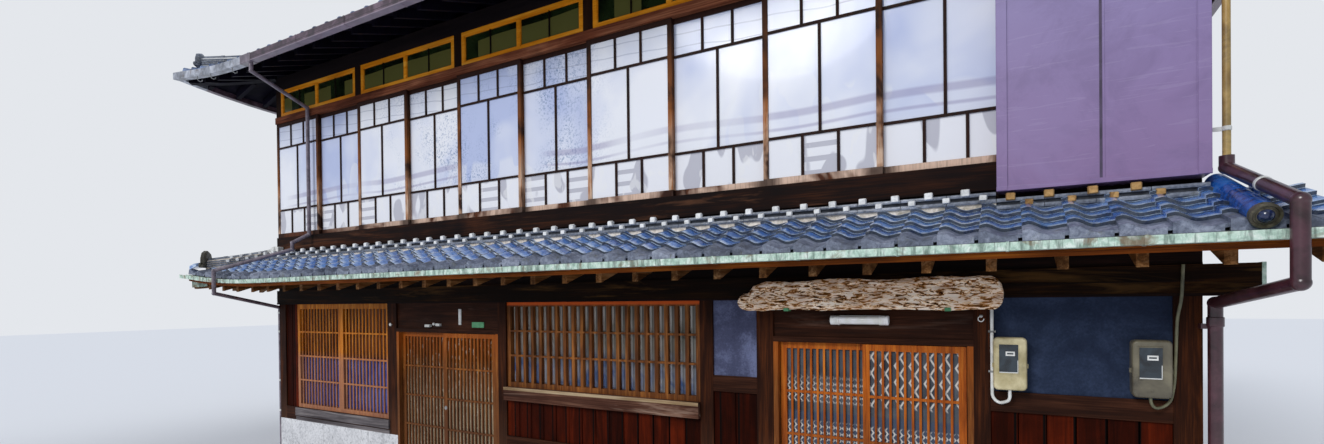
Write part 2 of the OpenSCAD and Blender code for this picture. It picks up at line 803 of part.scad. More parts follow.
// The boarded bay behind and over the shutter box
module upper_end_panel() {
    color("#3a2a26") in_house()
        slab(bay_x(window_bays) + upper_post_w / 2 + seat_gap, bay_x(bays) - upper_post_w / 2 - seat_gap,
            panel_recess, panel_recess + panel_t, transom_z, transom_top_z);
}

// Room for the bars between the panes
module glass_cuts(w) {
    inner = w - 2 * sash_stile;
    for (z = [low_bar_z, high_bar_z])
        translate([-1, -1, z - sash_bottom - muntin_w / 2]) cube([inner + 2, glass_t + 2, muntin_w]);
    for (k = [1, 2], z = [[0, low_bar_z - sash_bottom], [high_bar_z - sash_bottom, sash_h]])
        translate([k * inner / 3 - muntin_w / 2, -1, z[0]]) cube([muntin_w, glass_t + 2, z[1] - z[0]]);
    translate([inner / 2 - muntin_w / 2, -1, low_bar_z - sash_bottom])
        cube([muntin_w, glass_t + 2, high_bar_z - low_bar_z]);
}

module shutter_box() {
    x0 = right_x - shutter_box_w;
    top = window_head_z + window_head_h;
    color("#8a6a96") in_house() {
        slab(x0, right_x, -shutter_box_d, -sill_proud, shutter_box_z, top);
        for (x = [x0, right_x - shutter_trim_w])
            slab(x, x + shutter_trim_w, -shutter_box_d - shutter_trim_t, -shutter_box_d,
                shutter_box_z, top);
    }
}

// Side and back walls

back_upper_windows = 3;
back_lower_windows = 2;
back_window_w = 1700;
back_upper_z = [3600, 4655];
back_lower_z = [1150, 2050];
function spread_x(k, n) = left_x + front_w * (k + 0.5) / n - back_window_w / 2;
back_holes = concat(
    [for (k = [0 : back_upper_windows - 1]) [spread_x(k, back_upper_windows), back_upper_z]],
    [for (k = [0 : back_lower_windows - 1]) [spread_x(k, back_lower_windows), back_lower_z]]);

module side_wall(x0) {
    slab(x0, x0 + wall_t, wall_t, depth - wall_t, base_h, upper_sill_z);
    slab(x0, x0 + wall_t, upper_wall_t, depth - wall_t, upper_sill_z, plate_z);
}

module left_wall() {
    color("#b8a98e") in_house() side_wall(left_x);
}

module right_wall() {
    color("#b8a98e") in_house() side_wall(right_x - wall_t);
}

module back_wall() {
    color("#b8a98e") in_house() difference() {
        slab(left_x, right_x, depth - wall_t, depth, base_h, plate_z);
        for (h = back_holes)
            slab(h[0], h[0] + back_window_w, depth - wall_t - 1, depth + 1, h[1][0], h[1][1]);
    }
}

back_rim = 55;
back_frame_t = 60;
module back_windows() {
    color("#5a3a26") in_house()
        for (h = back_holes)
            translate([h[0], depth - wall_t + (wall_t - back_frame_t) / 2, h[1][0]]) difference() {
                cube([back_window_w, back_frame_t, h[1][1] - h[1][0]]);
                for (k = [0, 1])
                    translate([back_rim + k * (back_window_w - back_rim) / 2, -1, back_rim])
                        cube([(back_window_w - 3 * back_rim) / 2, back_frame_t + 2,
                            h[1][1] - h[1][0] - 2 * back_rim]);
            }
}

module back_glass() {
    color("aliceblue", 0.5) in_house()
        for (h = back_holes, k = [0, 1])
            translate([h[0] + back_rim + k * (back_window_w - back_rim) / 2,
                depth - wall_t + (wall_t - glass_t) / 2, h[1][0] + back_rim])
                cube([(back_window_w - 3 * back_rim) / 2, glass_t, h[1][1] - h[1][0] - 2 * back_rim]);
}

// The pent roof

lower_front_len = front_w + lower_over + verge_over;
lower_side_len = depth + lower_over;
lower_deck_z = lower_rafter_z + rafter_plumb + lower_deck_t - slope * lower_over;
lower_tile_z = lower_deck_z + lower_tile_t;

module lower_plane_front(z, thickness) {
    translate([left_x - lower_over, -lower_over, z])
        eave_strip(lower_front_len, lower_over, lower_lift, thickness, true, false);
}

module lower_plane_left(z, thickness) {
    translate([left_x - lower_over, depth, z]) rotate(-90)
        eave_strip(lower_side_len, lower_over, lower_lift, thickness, false, true);
}

module lower_roof_front() {
    color("#4c5f86") in_house() lower_plane_front(lower_tile_z, lower_tile_t - seat_gap);
}

module lower_roof_left() {
    color("#4c5f86") in_house() lower_plane_left(lower_tile_z, lower_tile_t - seat_gap);
}

module lower_eave_boards() {
    color("#a2602c") in_house() {
        lower_plane_front(lower_deck_z, lower_deck_t);
        lower_plane_left(lower_deck_z, lower_deck_t);
    }
}

// Rafters under an eave, drawn with the eave on y = 0 and the wall line on y = over.
// Their tails lie flat on the wall; jack rafters run up to the hip rafter.
module eave_rafters(length, over, lift, first, hip_start, hip_end, z_wall, tail) {
    for (x = [first : rafter_pitch : length - rafter_w / 2]) {
        near = min(hip_start ? x : length, hip_end ? length - x : length);
        hip_y = near - rafter_w / 2 - hip_rafter_w / sqrt(2) - seat_gap;
        inner_y = min(over, hip_y);
        tail_y = min(over + tail, hip_y);
        fall = slope - eave_lift(near + rafter_w, lift) / over;
        outer_z = z_wall - fall * (over - rafter_setback);
        inner_z = z_wall - fall * (over - inner_y);
        head_z = z_wall + rafter_plumb + slope * (tail_y - over);
        head = tail_y > over ? [[tail_y, z_wall], [tail_y, head_z]] : [];
        if (inner_y > rafter_setback + rafter_w)
            translate([x - rafter_w / 2, 0, 0]) rotate([90, 0, 90]) linear_extrude(rafter_w)
                polygon(concat([[rafter_setback, outer_z], [inner_y, inner_z]], head,
                    [[inner_y, inner_z + rafter_plumb], [rafter_setback, outer_z + rafter_plumb]]));
    }
}

// Distance from an eave's corner to the rafter nearest to it
function first_rafter(over, to_wall_rafter) =
    let (x = over + to_wall_rafter) x - floor((x - rafter_setback) / rafter_pitch) * rafter_pitch;

module lower_rafters() {
    color("#6b4526") in_house() {
        translate([left_x - lower_over, -lower_over, 0])
            eave_rafters(lower_front_len, lower_over, lower_lift,
                first_rafter(lower_over, first_rafter_x), true, false, lower_rafter_z, 0);
        translate([left_x - lower_over, depth, 0]) rotate(-90)
            eave_rafters(lower_side_len, lower_over, lower_lift, rafter_w / 2,
                false, true, lower_rafter_z, 0);
        hip_rafter([left_x, 0], [-1, -1], lower_over, lower_rafter_z, lower_lift);
    }
}

// A hip rafter from a wall corner out to the corner of the eave, its top edges under the boards
module hip_rafter(corner, out, over, z_wall, lift) {
    tip = 60;
    sink = 14;
    steps = [for (k = [eave_steps : -1 : 1]) k * over / eave_steps];
    path = [for (s = concat(steps, [tip]))
        [corner[0] + out[0] * (over - s), corner[1] + out[1] * (over - s),
         z_wall - slope * over + hip_height(s, over, lift) - sink]];
    plumb_bar(path, hip_rafter_w, rafter_plumb);
}

module gutter_box(path, w, h) {
    difference() {
        plumb_bar(path, w, h);
        translate([0, 0, gutter_t]) plumb_bar(path, w - 2 * gutter_t, h);
    }
}

// Points along the outside of an eave, rising at its hipped corners and run on by `extra`
function eave_path(length, out, extra, z, lift, hip_start, hip_end) =
    let (a = hip_start ? -extra : 0, b = hip_end ? length + extra : length)
    [for (x = concat(zone_start(0), zone_end(length, 0)))
        [x <= 0 ? a : x >= length ? b : x, -out, z
            + (hip_start ? eave_lift(x, lift) : 0) + (hip_end ? eave_lift(length - x, lift) : 0)]];

module lower_gutter() {
    color("#a9c8b4") in_house() {
        translate([left_x - lower_over, -lower_over, 0])
            gutter_box(eave_path(lower_front_len, lower_gutter_w / 2, lower_gutter_w,
                lower_gutter_z, lower_lift, true, false), lower_gutter_w, lower_gutter_h);
        translate([left_x - lower_over, depth, 0]) rotate(-90)
            gutter_box(eave_path(lower_side_len, lower_gutter_w / 2, gutter_t / 2, lower_gutter_z,
                lower_lift, false, true), lower_gutter_w, lower_gutter_h);
    }
}

// Stacked tiles against the walls and along the hip
// Their foot follows the rise of the eave, s being the distance from its corner
function wall_ridge_section(s, front_z) =
    let (rise = eave_lift(s, lower_lift))
    [[-wall_ridge_d, wall_ridge_d * (rise / lower_over - slope) + (rise > 0 ? ridge_bed : 0)], [0, 0],
     [0, front_z + 15 - lower_top_z], [12 - wall_ridge_d, front_z - lower_top_z]];

module lower_ridges() {
    x_box = right_x - shutter_box_w - pipe_clear;
    tip = 130;
    head = lower_over - 60;
    head_step = lower_over - 150;
    rising = concat([lower_over - 100], zone_start(lower_over));
    sections = [for (s = rising) wall_ridge_section(s, wall_ridge_z)];
    steps = [for (k = [eave_steps - 1 : -1 : 1]) k * lower_over / eave_steps];
    hip_steps = concat([head, head_step], steps, [tip]);
    side_run = concat([lower_over + depth], [for (k = [len(rising) - 1 : -1 : 0]) rising[k]]);
    color("#5b6577") in_house() {
        swept_bar([for (s = concat(rising, [x_box - left_x + lower_over]))
            [left_x - lower_over + s, 0, lower_top_z]], sections);
        swept_bar([[x_box, 0, lower_top_z], [right_x, 0, lower_top_z]],
            [wall_ridge_section(lift_len, box_ridge_z)]);
        swept_bar([for (s = side_run) [left_x, s - lower_over, lower_top_z]],
            [for (s = side_run) wall_ridge_section(s, wall_ridge_z)]);
        hip_bar([for (s = hip_steps)
            [left_x - lower_over + s, -lower_over + s,
             lower_tile_z + hip_height(s, lower_over, lower_lift)]],
            hip_steps, lower_over, lower_lift, lower_hip_w, lower_hip_h, 20);
    }
}

module roll_tile() {
    x = right_x + roll_r + 1;
    run = (lower_over + 45) / cos(roof_angle);
    bed = lower_over / cos(roof_angle) + roll_r * slope;
    color("#2d5a9a") in_house()
        translate([x, 0, lower_top_z]) rotate([roof_angle, 0, 0]) difference() {
            rotate([90, 0, 0]) cylinder(h = run, r = roll_r);
            translate([-roll_r - 1, -bed, -roll_r - 1])
                cube([2 * roll_r + 2, bed + roll_r, roll_r + 1]);
        }
}

// The main roof

upper_deck_z = plate_z + rafter_plumb + upper_deck_t - slope * upper_over;
upper_tile_z = upper_deck_z + upper_tile_t;

module roof_plane(length, thickness) {
    eave_strip(length, upper_over, upper_lift, thickness, true, true);
    upper_field(length, upper_over, main_run, thickness);
}

module upper_roof_front() {
    color("#8f93a8") in_house() on_front(upper_over, upper_tile_z)
        roof_plane(front_eave_len, upper_tile_t + upper_deck_t);
}
module upper_roof_back() {
    color("#8f93a8") in_house() on_back(upper_over, upper_tile_z)
        roof_plane(front_eave_len, upper_tile_t + upper_deck_t);
}
module upper_roof_left() {
    color("#8f93a8") in_house() on_left(upper_over, upper_tile_z)
        roof_plane(side_eave_len, upper_tile_t + upper_deck_t);
}
module upper_roof_right() {
    color("#8f93a8") in_house() on_right(upper_over, upper_tile_z)
        roof_plane(side_eave_len, upper_tile_t + upper_deck_t);
}

module upper_eave_rafters(length) {
    eave_rafters(length, upper_over, upper_lift, first_rafter(upper_over, first_rafter_x),
        true, true, plate_z, rafter_tail);
}

module upper_rafters() {
    color("#2a2233") in_house() {
        on_front(upper_over, 0) upper_eave_rafters(front_eave_len);
        on_back(upper_over, 0) upper_eave_rafters(front_eave_len);
        on_left(upper_over, 0) upper_eave_rafters(side_eave_len);
        on_right(upper_over, 0) upper_eave_rafters(side_eave_len);
        for (sx = [-1, 1], sy = [-1, 1])
            hip_rafter([sx * right_x, sy < 0 ? 0 : depth], [sx, sy], upper_over, plate_z, upper_lift);
    }
}

module upper_gutter_side(length, extra) {
    gutter_box(eave_path(length, upper_gutter_w / 2, extra, upper_gutter_z, upper_lift, true, true),
        upper_gutter_w, upper_gutter_h);
}

module upper_gutter() {
    color("#4a3038") in_house() {
        on_front(upper_over, 0) upper_gutter_side(front_eave_len, upper_gutter_w);
        on_back(upper_over, 0) upper_gutter_side(front_eave_len, upper_gutter_w);
        on_left(upper_over, 0) upper_gutter_side(side_eave_len, gutter_t / 2);
        on_right(upper_over, 0) upper_gutter_side(side_eave_len, gutter_t / 2);
    }
}

module upper_ridges() {
    ridge_z = upper_top_z + slope * depth / 2;
    half_ridge = front_w / 2 + upper_over - main_run;
    foot = -slope * main_ridge_w / 2;
    tip = 120;
    steps = [for (k = [eave_steps : -1 : 1]) k * upper_over / eave_steps];
    color("#7d8296") in_house() {
        translate([-half_ridge, depth / 2, ridge_z]) rotate([90, 0, 90])
            linear_extrude(2 * half_ridge)
                polygon([[-main_ridge_w / 2, foot], [0, 0], [main_ridge_w / 2, foot],
                    [main_ridge_w / 2, main_ridge_h], [-main_ridge_w / 2, main_ridge_h]]);
        for (sx = [-1, 1], sy = [-1, 1])
            hip_path(sx, sy, concat([main_run], steps, [tip]));
    }
}

// A hip ridge of the main roof; sx and sy give the corner it runs out to
module hip_path(sx, sy, steps) {
    hip_bar([for (s = steps)
        [sx * (front_w / 2 + upper_over - s), sy < 0 ? s - upper_over : depth + upper_over - s,
         upper_tile_z + (s > upper_over ? slope * s : hip_height(s, upper_over, upper_lift))]],
        steps, upper_over, upper_lift, hip_ridge_w, hip_ridge_h);
}

// Pipes

module pipe_run(points, r, joint_r) {
    for (i = [0 : len(points) - 2])
        rod_between(points[i], points[i + 1], r);
    for (i = [1 : len(points) - 2])
        translate(points[i]) sphere(r = joint_r);
}

module left_downpipe() {
    r = left_pipe_r;
    wall_y = -sill_proud - r - 12;
    x_wall = bay_x(1) - 115;
    x_low = left_x + 150;
    y_out = -upper_over - upper_gutter_w / 2;
    y_low = -lower_over - lower_gutter_w - r - pipe_clear;
    x_side = left_x - r - 9;
    y_ridge = -wall_ridge_d - r - 22;
    points = [[x_wall + 180, y_out, upper_gutter_z], [x_wall + 180, y_out, upper_gutter_z - 100],
        [x_wall, wall_y, transom_z], [x_wall, wall_y, window_sill_z],
        [x_wall - 80, y_ridge, upper_sill_z + pipe_bend], [x_wall - 80, y_ridge, wall_ridge_z],
        [x_low, y_low, lower_gutter_z + pipe_over], [x_low, y_low, lower_gutter_z - pipe_drop],
        [x_side, r, lintel_z - pipe_return], [x_side, r, 0]];
    color("#5a4048") in_house() difference() {
        pipe_run(points, r, r + 3);
        slab(left_x - 100, right_x, -lower_over, r * 2, -50, 0);
    }
}

right_pipe_x = right_x + 90;
pipe_clip_w = 24;
pipe_clip_h = 30;

module right_downpipe() {
    r = right_pipe_r;
    x_low = right_x + 158;
    y_low = -lower_over - lower_gutter_w - r - pipe_clear;
    x_side = right_x + r + pipe_clear;
    y_side = -lintel_proud - r - pipe_clear;
    points = [[right_pipe_x, -r - 60, upper_sill_z + pipe_bend], [right_pipe_x, -r - 60, upper_sill_z],
        [x_low, y_low, lower_gutter_z + pipe_over], [x_low, y_low, lower_gutter_z - 1.8 * pipe_drop],
        [x_side, y_side, lintel_z - pipe_return], [x_side, y_side, 0]];
    color("#5a3a3a") in_house() {
        pipe_run(points, r, r + 3);
        for (z = [base_h - 60, lintel_z / 2, lintel_z - 200])
            slab(right_x - pipe_clip_w, x_side, y_side, 0, z, z + pipe_clip_h);
    }
}

module vent_pipe() {
    color("#e8e2c8") in_house()
        translate([right_pipe_x, -right_pipe_r - 60, upper_sill_z + pipe_bend])
            cylinder(h = upper_gutter_z + 50 - upper_sill_z - pipe_bend, r = vent_pipe_r);
}

// Fittings on the street front

module sign_board() {
    x0 = 2082;
    back_y = -lintel_proud - 110;
    color("#b9a48c") in_house() {
        translate([x0, back_y, sign_z]) rotate([90, 0, 0])
            linear_extrude(sign_t)
                polygon([[0, sign_h * 0.35], [sign_w * 0.06, 0], [sign_w * 0.9, sign_h * 0.04],
                    [sign_w, sign_h * 0.3], [sign_w * 0.985, sign_h], [sign_w * 0.3, sign_h * 0.93],
                    [sign_w * 0.12, sign_h * 0.9], [sign_w * 0.02, sign_h * 0.85]]);
        for (k = [0.18, 0.82])
            slab(x0 + k * sign_w, x0 + k * sign_w + 30, back_y, -lintel_proud, lintel_z + 20,
                lintel_z + 60);
    }
}

module porch_lamp() {
    color("white") in_house()
        slab(2800, 2800 + lamp_w, panel_recess - 70, panel_recess, 1935, 1935 + lamp_h);
}

module meters() {
    color("#b9ab82") in_house()
        for (x = [run_x(run_wide_panel) + 20, run_x(run_right_post) - 20 - meter_w])
            slab(x, x + meter_w, panel_recess - meter_d, panel_recess, 1505, 1505 + meter_h);
}

foundation();
ground_floor();
upper_floor();
ground_posts();
ground_sills();
lintel_beam();
front_girt();
upper_sill();
upper_posts();
upper_head();
wall_plate();
left_window_lattice();
middle_window_lattice();
ground_window_glass();
window_sill_board();
wainscot_boards();
front_plaster();
door_heads();
door_thresholds();
door_jambs();
left_door_left_leaf();
left_door_right_leaf();
entrance_left_leaf();
entrance_right_leaf();
left_door_left_glass();
left_door_right_glass();
entrance_left_glass();
entrance_right_glass();
front_sashes();
upper_front_glass();
transom_frames();
shutter_box();
upper_end_panel();
left_wall();
right_wall();
back_wall();
back_windows();
back_glass();
lower_roof_front();
lower_roof_left();
lower_eave_boards();
lower_rafters();
lower_gutter();
lower_ridges();
roll_tile();
upper_roof_front();
upper_roof_back();
upper_roof_left();
upper_roof_right();
upper_rafters();
upper_gutter();
upper_ridges();
left_downpipe();
right_downpipe();
vent_pipe();
sign_board();
porch_lamp();
meters();
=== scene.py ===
import math

import bmesh
import bpy
from mathutils import Matrix, Vector, noise


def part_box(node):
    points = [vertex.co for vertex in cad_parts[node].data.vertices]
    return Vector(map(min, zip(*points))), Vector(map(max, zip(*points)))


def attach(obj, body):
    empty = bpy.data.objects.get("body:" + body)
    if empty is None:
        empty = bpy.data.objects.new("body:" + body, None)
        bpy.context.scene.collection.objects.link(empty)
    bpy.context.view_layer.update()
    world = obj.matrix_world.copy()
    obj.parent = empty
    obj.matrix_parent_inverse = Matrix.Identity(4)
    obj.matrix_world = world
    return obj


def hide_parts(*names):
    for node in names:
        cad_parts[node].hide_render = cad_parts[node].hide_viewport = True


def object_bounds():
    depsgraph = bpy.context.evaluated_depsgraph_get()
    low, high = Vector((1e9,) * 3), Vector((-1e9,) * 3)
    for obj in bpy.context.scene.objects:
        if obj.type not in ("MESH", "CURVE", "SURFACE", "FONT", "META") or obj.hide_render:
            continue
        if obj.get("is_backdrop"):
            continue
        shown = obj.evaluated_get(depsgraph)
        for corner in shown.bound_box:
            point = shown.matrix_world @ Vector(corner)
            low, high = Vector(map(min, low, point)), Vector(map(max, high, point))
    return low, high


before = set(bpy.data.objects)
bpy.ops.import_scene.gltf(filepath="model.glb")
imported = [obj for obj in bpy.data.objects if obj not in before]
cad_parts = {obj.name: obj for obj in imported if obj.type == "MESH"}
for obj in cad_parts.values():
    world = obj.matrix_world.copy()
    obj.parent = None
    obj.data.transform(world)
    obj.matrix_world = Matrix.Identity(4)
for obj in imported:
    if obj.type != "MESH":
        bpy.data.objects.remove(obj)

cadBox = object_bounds()
scene = bpy.context.scene
scene.view_settings.view_transform = "Standard"
print("frame loaded:", len(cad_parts), "nodes")

# The house's faces, taken from the frame
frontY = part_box("ground_posts")[0].y
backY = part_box("back_wall")[1].y
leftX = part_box("ground_posts")[0].x
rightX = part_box("ground_posts")[1].x


# Small helpers for node trees

# A socket in a node tree: sums and products of wires add Math nodes
class Wire:
    def __init__(self, graph, socket):
        self.graph = graph
        self.socket = socket

    def __add__(self, other):
        return self.graph.maths("ADD", self, other)

    def __radd__(self, other):
        return self.graph.maths("ADD", other, self)

    def __sub__(self, other):
        return self.graph.maths("SUBTRACT", self, other)

    def __rsub__(self, other):
        return self.graph.maths("SUBTRACT", other, self)

    def __mul__(self, other):
        return self.graph.maths("MULTIPLY", self, other)

    def __rmul__(self, other):
        return self.graph.maths("MULTIPLY", other, self)

    def __truediv__(self, other):
        return self.graph.maths("DIVIDE", self, other)

    def __rtruediv__(self, other):
        return self.graph.maths("DIVIDE", other, self)

    def above(self, level, blur):
        # 0 below the level, 1 past it, blurred over the given width
        return self.graph.maths("DIVIDE", self - (level - blur / 2), blur, clamp=True)

    def below(self, level, blur):
        return 1 - self.above(level, blur)

    def floor0(self):
        return self.graph.maths("MAXIMUM", self, 0.0)


class Graph:
    def __init__(self, tree):
        self.tree = tree

    def feed(self, socket, value):
        # A wire is linked, a hex code becomes a colour, and any other value is set as it is
        if isinstance(value, Wire):
            self.tree.links.new(value.socket, socket)
        elif value is not None:
            socket.default_value = tone(value) if isinstance(value, str) else value

    # The one method that makes a node: its type, its settings, then what goes into its sockets
    def node(self, kind, settings=None, feeds=None, out=0):
        made = self.tree.nodes.new(kind)
        for key, value in (settings or {}).items():
            if key == "stops":
                ramp = made.color_ramp
                while len(ramp.elements) < len(value):
                    ramp.elements.new(0.5)
                for element, (place, colour) in zip(ramp.elements, value):
                    element.position = place
                    element.color = tone(colour)
            else:
                setattr(made, key, value)
        for key, value in (feeds or {}).items():
            self.feed(made.inputs[key], value)
        return Wire(self, made.outputs[out]) if made.outputs else None

    def maths(self, operation, *values, clamp=False):
        return self.node("ShaderNodeMath", {"operation": operation, "use_clamp": clamp},
                         dict(enumerate(values)))

    def vectors(self, operation, *values):
        return self.node("ShaderNodeVectorMath", {"operation": operation}, dict(enumerate(values)))

    def blend(self, factor, a, b):
        return self.node("ShaderNodeMix", {"data_type": "RGBA"}, {0: factor, 6: a, 7: b}, out=2)

    def ramp(self, factor, stops):
        return self.node("ShaderNodeValToRGB", {"stops": stops}, {0: factor})

    def split(self, vector):
        first = self.node("ShaderNodeSeparateXYZ", None, {0: vector})
        return [Wire(self, out) for out in first.socket.node.outputs]

    def join(self, x, y, z):
        return self.node("ShaderNodeCombineXYZ", None, {0: x, 1: y, 2: z})


# Materials

def tone(code):
    # Hex colour to the linear values that a shader takes
    values = [int(code[i:i + 2], 16) / 255 for i in (0, 2, 4)]
    return tuple(v / 12.92 if v <= 0.04045 else ((v + 0.055) / 1.055) ** 2.4 for v in values) + (1.0,)


class Paint(Graph):
    # A material under construction: object coordinates, noises and one shader
    def __init__(self, name):
        self.material = bpy.data.materials.new(name)
        self.material.use_nodes = True
        super().__init__(self.material.node_tree)
        self.tree.nodes.clear()
        self.place = self.node("ShaderNodeTexCoord", None, None, out=3)
        self.x, self.y, self.z = self.split(self.place)

    def noise(self, scale, detail=4, rough=0.55, warp=0.0, stretch=(1, 1, 1), shift=(0, 0, 0)):
        where = self.node("ShaderNodeMapping", None, {0: self.place, 1: shift, 3: stretch})
        return self.node("ShaderNodeTexNoise", None, {"Vector": where, "Scale": scale, "Detail": detail,
                                                      "Roughness": rough, "Distortion": warp})

    def chance(self, number):
        # A value from 0 to 1 that belongs to a whole number
        return self.node("ShaderNodeTexWhiteNoise", {"noise_dimensions": "1D"}, {"W": number})

    def grime(self):
        return self.noise(3, 5, 0.7, 0.6, shift=(5, 0, 5)).above(0.54, 0.2)

    def scratches(self):
        return self.noise(40, 2, 0.4, 1.5, (0.06, 1, 1), (4, 4, 4)).above(0.66, 0.02)

    def finish(self, colour, rough, bump, depth, strength, fixed=None):
        normal = self.node("ShaderNodeBump", None, {"Strength": strength, "Distance": depth, "Height": bump})
        shader = self.node("ShaderNodeBsdfPrincipled", None,
                           {"Base Color": colour, "Roughness": rough, "Normal": normal, **(fixed or {})})
        self.node("ShaderNodeOutputMaterial", None, {0: shader})
        return self.material


grainWays = {"X": (0.07, 1, 1), "Y": (1, 0.07, 1), "Z": (1, 1, 0.07)}


def timber(name, tones, way="Z", grain=16.0, rough=0.62, stain="2a1a12", stainShare=0.5, sheen=0.0, foot=None,
           lights=None, crown=None):
    # Boards and beams: long fibres, broad stains, an optional pale or dark foot and worn lights
    p = Paint(name)
    stretch = grainWays[way]
    fine = tuple(s * (0.35 if s < 1 else 1) for s in stretch)
    rings = p.noise(grain, 6, 0.6, 0.6, stretch)
    fibre = p.noise(grain * 9, 3, 0.6, 0.0, fine, (3, 5, 1))
    broad = p.noise(1.3, 3, 0.6, 0.4, shift=(7, 2, 4))
    mixValue = rings * 0.62 + fibre * 0.38
    colour = p.ramp(mixValue, list(zip((0.34, 0.5, 0.66), tones)))
    colour = p.blend(broad.above(0.52, 0.25) * stainShare, colour, stain)
    if lights:
        worn = p.noise(grain * 0.6, 5, 0.7, 1.0, stretch, (1, 9, 3)).above(lights[1], 0.12)
        colour = p.blend(worn * lights[2], colour, lights[0])
    if foot:
        colour = p.blend(p.z.below(foot[1], foot[2]) * foot[3] * (0.5 + rings), colour, foot[0])
    if crown:
        colour = p.blend(p.z.above(crown[1], crown[2]) * crown[3], colour, crown[0])
    return p.finish(colour, (rough - 0.12) + fibre * 0.24, rings * 0.5 + fibre * 0.5, 0.0015, 0.55,
                    fixed={"Coat Weight": sheen, "Coat Roughness": 0.35, "Specular IOR Level": 0.07})


postWood = timber("postWood", ("180a05", "32170a", "5a2e14"), "Z", 14, stain="100705",
                  foot=("6a4a38", 0.8, 0.5, 0.25))
beamWood = timber("beamWood", ("0c0400", "180a02", "3a2008"), "X", 12, stain="0c0703", stainShare=0.6,
                  lights=("6a4a22", 0.62, 0.4))
girtWood = timber("girtWood", ("0c0605", "160c08", "281611"), "X", 12, stain="080505")
sillDark = timber("sillDark", ("1c0d07", "341a0e", "523020"), "X", 12, stain="140a08",
                  lights=("6a5448", 0.64, 0.35))
upperSillWood = timber("upperSillWood", ("0e0706", "20110c", "4a2816"), "X", 9, stain="0b070a",
                       stainShare=0.7, lights=("7d5238", 0.62, 0.4))
headWood = timber("headWood", ("3a1a0e", "7a422c", "ac7050"), "X", 10, stain="200c06")
upperPostWood = timber("upperPostWood", ("100806", "22130d", "38200f"), "Z", 12, stain="0c0706")
plateWood = timber("plateWood", ("100b0f", "1a1416", "261c1c"), "X", 10, stain="0f0a0e", stainShare=0.4)
latticeWood = timber("latticeWood", ("70340c", "c4721e", "eca044"), "Z", 22, 0.5, stain="4a240c",
                     stainShare=0.4, sheen=0.05, foot=("8c706c", 1.44, 0.12, 0.45))
middleLatticeWood = timber("middleLatticeWood", ("381f0e", "764420", "b07236"), "Z", 20, 0.5,
                           stain="22110a", stainShare=0.6, sheen=0.05, crown=("d0561c", 2.105, 0.02, 0.9))
doorWoodLeft = timber("doorWoodLeft", ("4e260c", "8a4c1a", "b57838"), "Z", 22, 0.5, stain="341a0c",
                      stainShare=0.5, sheen=0.05, foot=("4a3428", 1.15, 0.9, 0.55),
                      crown=("b0581a", 1.6, 0.3, 0.5))
doorWoodRight = timber("doorWoodRight", ("702e08", "b45a16", "d8802a"), "Z", 22, 0.48, stain="5a2c10",
                       stainShare=0.45, sheen=0.1, foot=("6d4530", 0.9, 0.8, 0.5))
sillBoardWood = timber("sillBoardWood", ("2a150e", "533428", "8a6450"), "X", 10, 0.7, stain="2c1610",
                       stainShare=0.45, lights=("b89c88", 0.6, 0.5))
greySillWood = timber("greySillWood", ("3c3638", "6a6466", "98908e"), "X", 10, 0.75, stain="2e2829",
                      stainShare=0.35, lights=("b8b0aa", 0.6, 0.5))
sillEdgeWood = timber("sillEdgeWood", ("6a5038", "a08664", "cdb898"), "X", 10, 0.6, stain="4a3424")
thresholdWood = timber("thresholdWood", ("3c2c20", "6b5038", "9a7a58"), "X", 10, 0.7)
honeyWood = timber("honeyWood", ("d0780c", "f0961c", "ffbc48"), "X", 12, 0.42, stain="8a4810",
                   stainShare=0.35, sheen=0.1)
eaveWood = timber("eaveWood", ("4a220c", "8a4414", "b4661f"), "X", 12, stain="2c160a", stainShare=0.45)
rafterWood = timber("rafterWood", ("34200f", "6a4422", "a87a4c"), "Y", 16, stain="22140a", stainShare=0.5,
                    lights=("a8835c", 0.6, 0.45))
# Near-black violet tones: painted shade under the upper eave
soffitWood = timber("soffitWood", ("08070f", "0f0c1a", "1a1428"), "X", 8, stain="07070e", stainShare=0.6)
floorWood = timber("floorWood", ("5a3c22", "8a6138", "a87c4c"), "X", 10, 0.5)
print("timbers painted")


def sashTimber():
    # Nearly black wood whose stiles are worn to orange and cream low down, and bleached bottom rails
    p = Paint("sashTimber")
    fibre = p.noise(60, 4, 0.6, 0.2, grainWays["Z"])
    bayPlace = (p.x - sashLook["start"]) / sashLook["bay"] + 0.5
    offLine = p.maths("ABSOLUTE", p.maths("FRACT", bayPlace) - 0.5) * sashLook["bay"]
    stile = p.maths("MAXIMUM", offLine.below(0.0255, 0.003), p.x.below(leftX + 0.05, 0.004))
    worn = p.noise(1.7, 4, 0.6, 0.6, (1.6, 1, 1.1), (2, 3, 5)).above(0.47, 0.16)
    stileTone = p.ramp(fibre, [(0.38, "1c0e09"), (0.62, "43230f")])
    stileTone = p.blend(worn * p.z.below(4.15, 0.9), stileTone, "9c5a24")
    stileTone = p.blend(worn * p.z.below(3.62, 0.5) * fibre.above(0.44, 0.2), stileTone, "e0c0a4")
    bleached = p.noise(2.6, 3, 0.6, 0.4, shift=(1, 8, 2)).above(0.46, 0.12) * p.x.above(-3.2, 2.4)
    railTone = p.ramp(fibre, [(0.38, "3a1c10"), (0.62, "6a3a20")])
    railTone = p.blend(bleached, railTone, "dcbca6")
    railTone = p.blend(offLine.below(0.11, 0.1) * 0.85, railTone, "2a140b")
    barTone = p.blend(fibre.above(0.5, 0.3), "120907", "36190d")
    lowRail = p.z.below(sashLook["lowRailTop"], 0.004)
    topRail = p.z.above(sashLook["topRailFoot"], 0.004)
    colour = p.blend(stile, barTone, stileTone)
    colour = p.blend(lowRail, colour, railTone)
    colour = p.blend(topRail, colour, "2c140c")
    colour = p.blend(fibre.above(0.56, 0.2) * 0.35, colour, "1c0e0a")
    return p.finish(colour, 0.5 + fibre * 0.3, fibre, 0.0012, 0.5, fixed={"Specular IOR Level": 0.15})


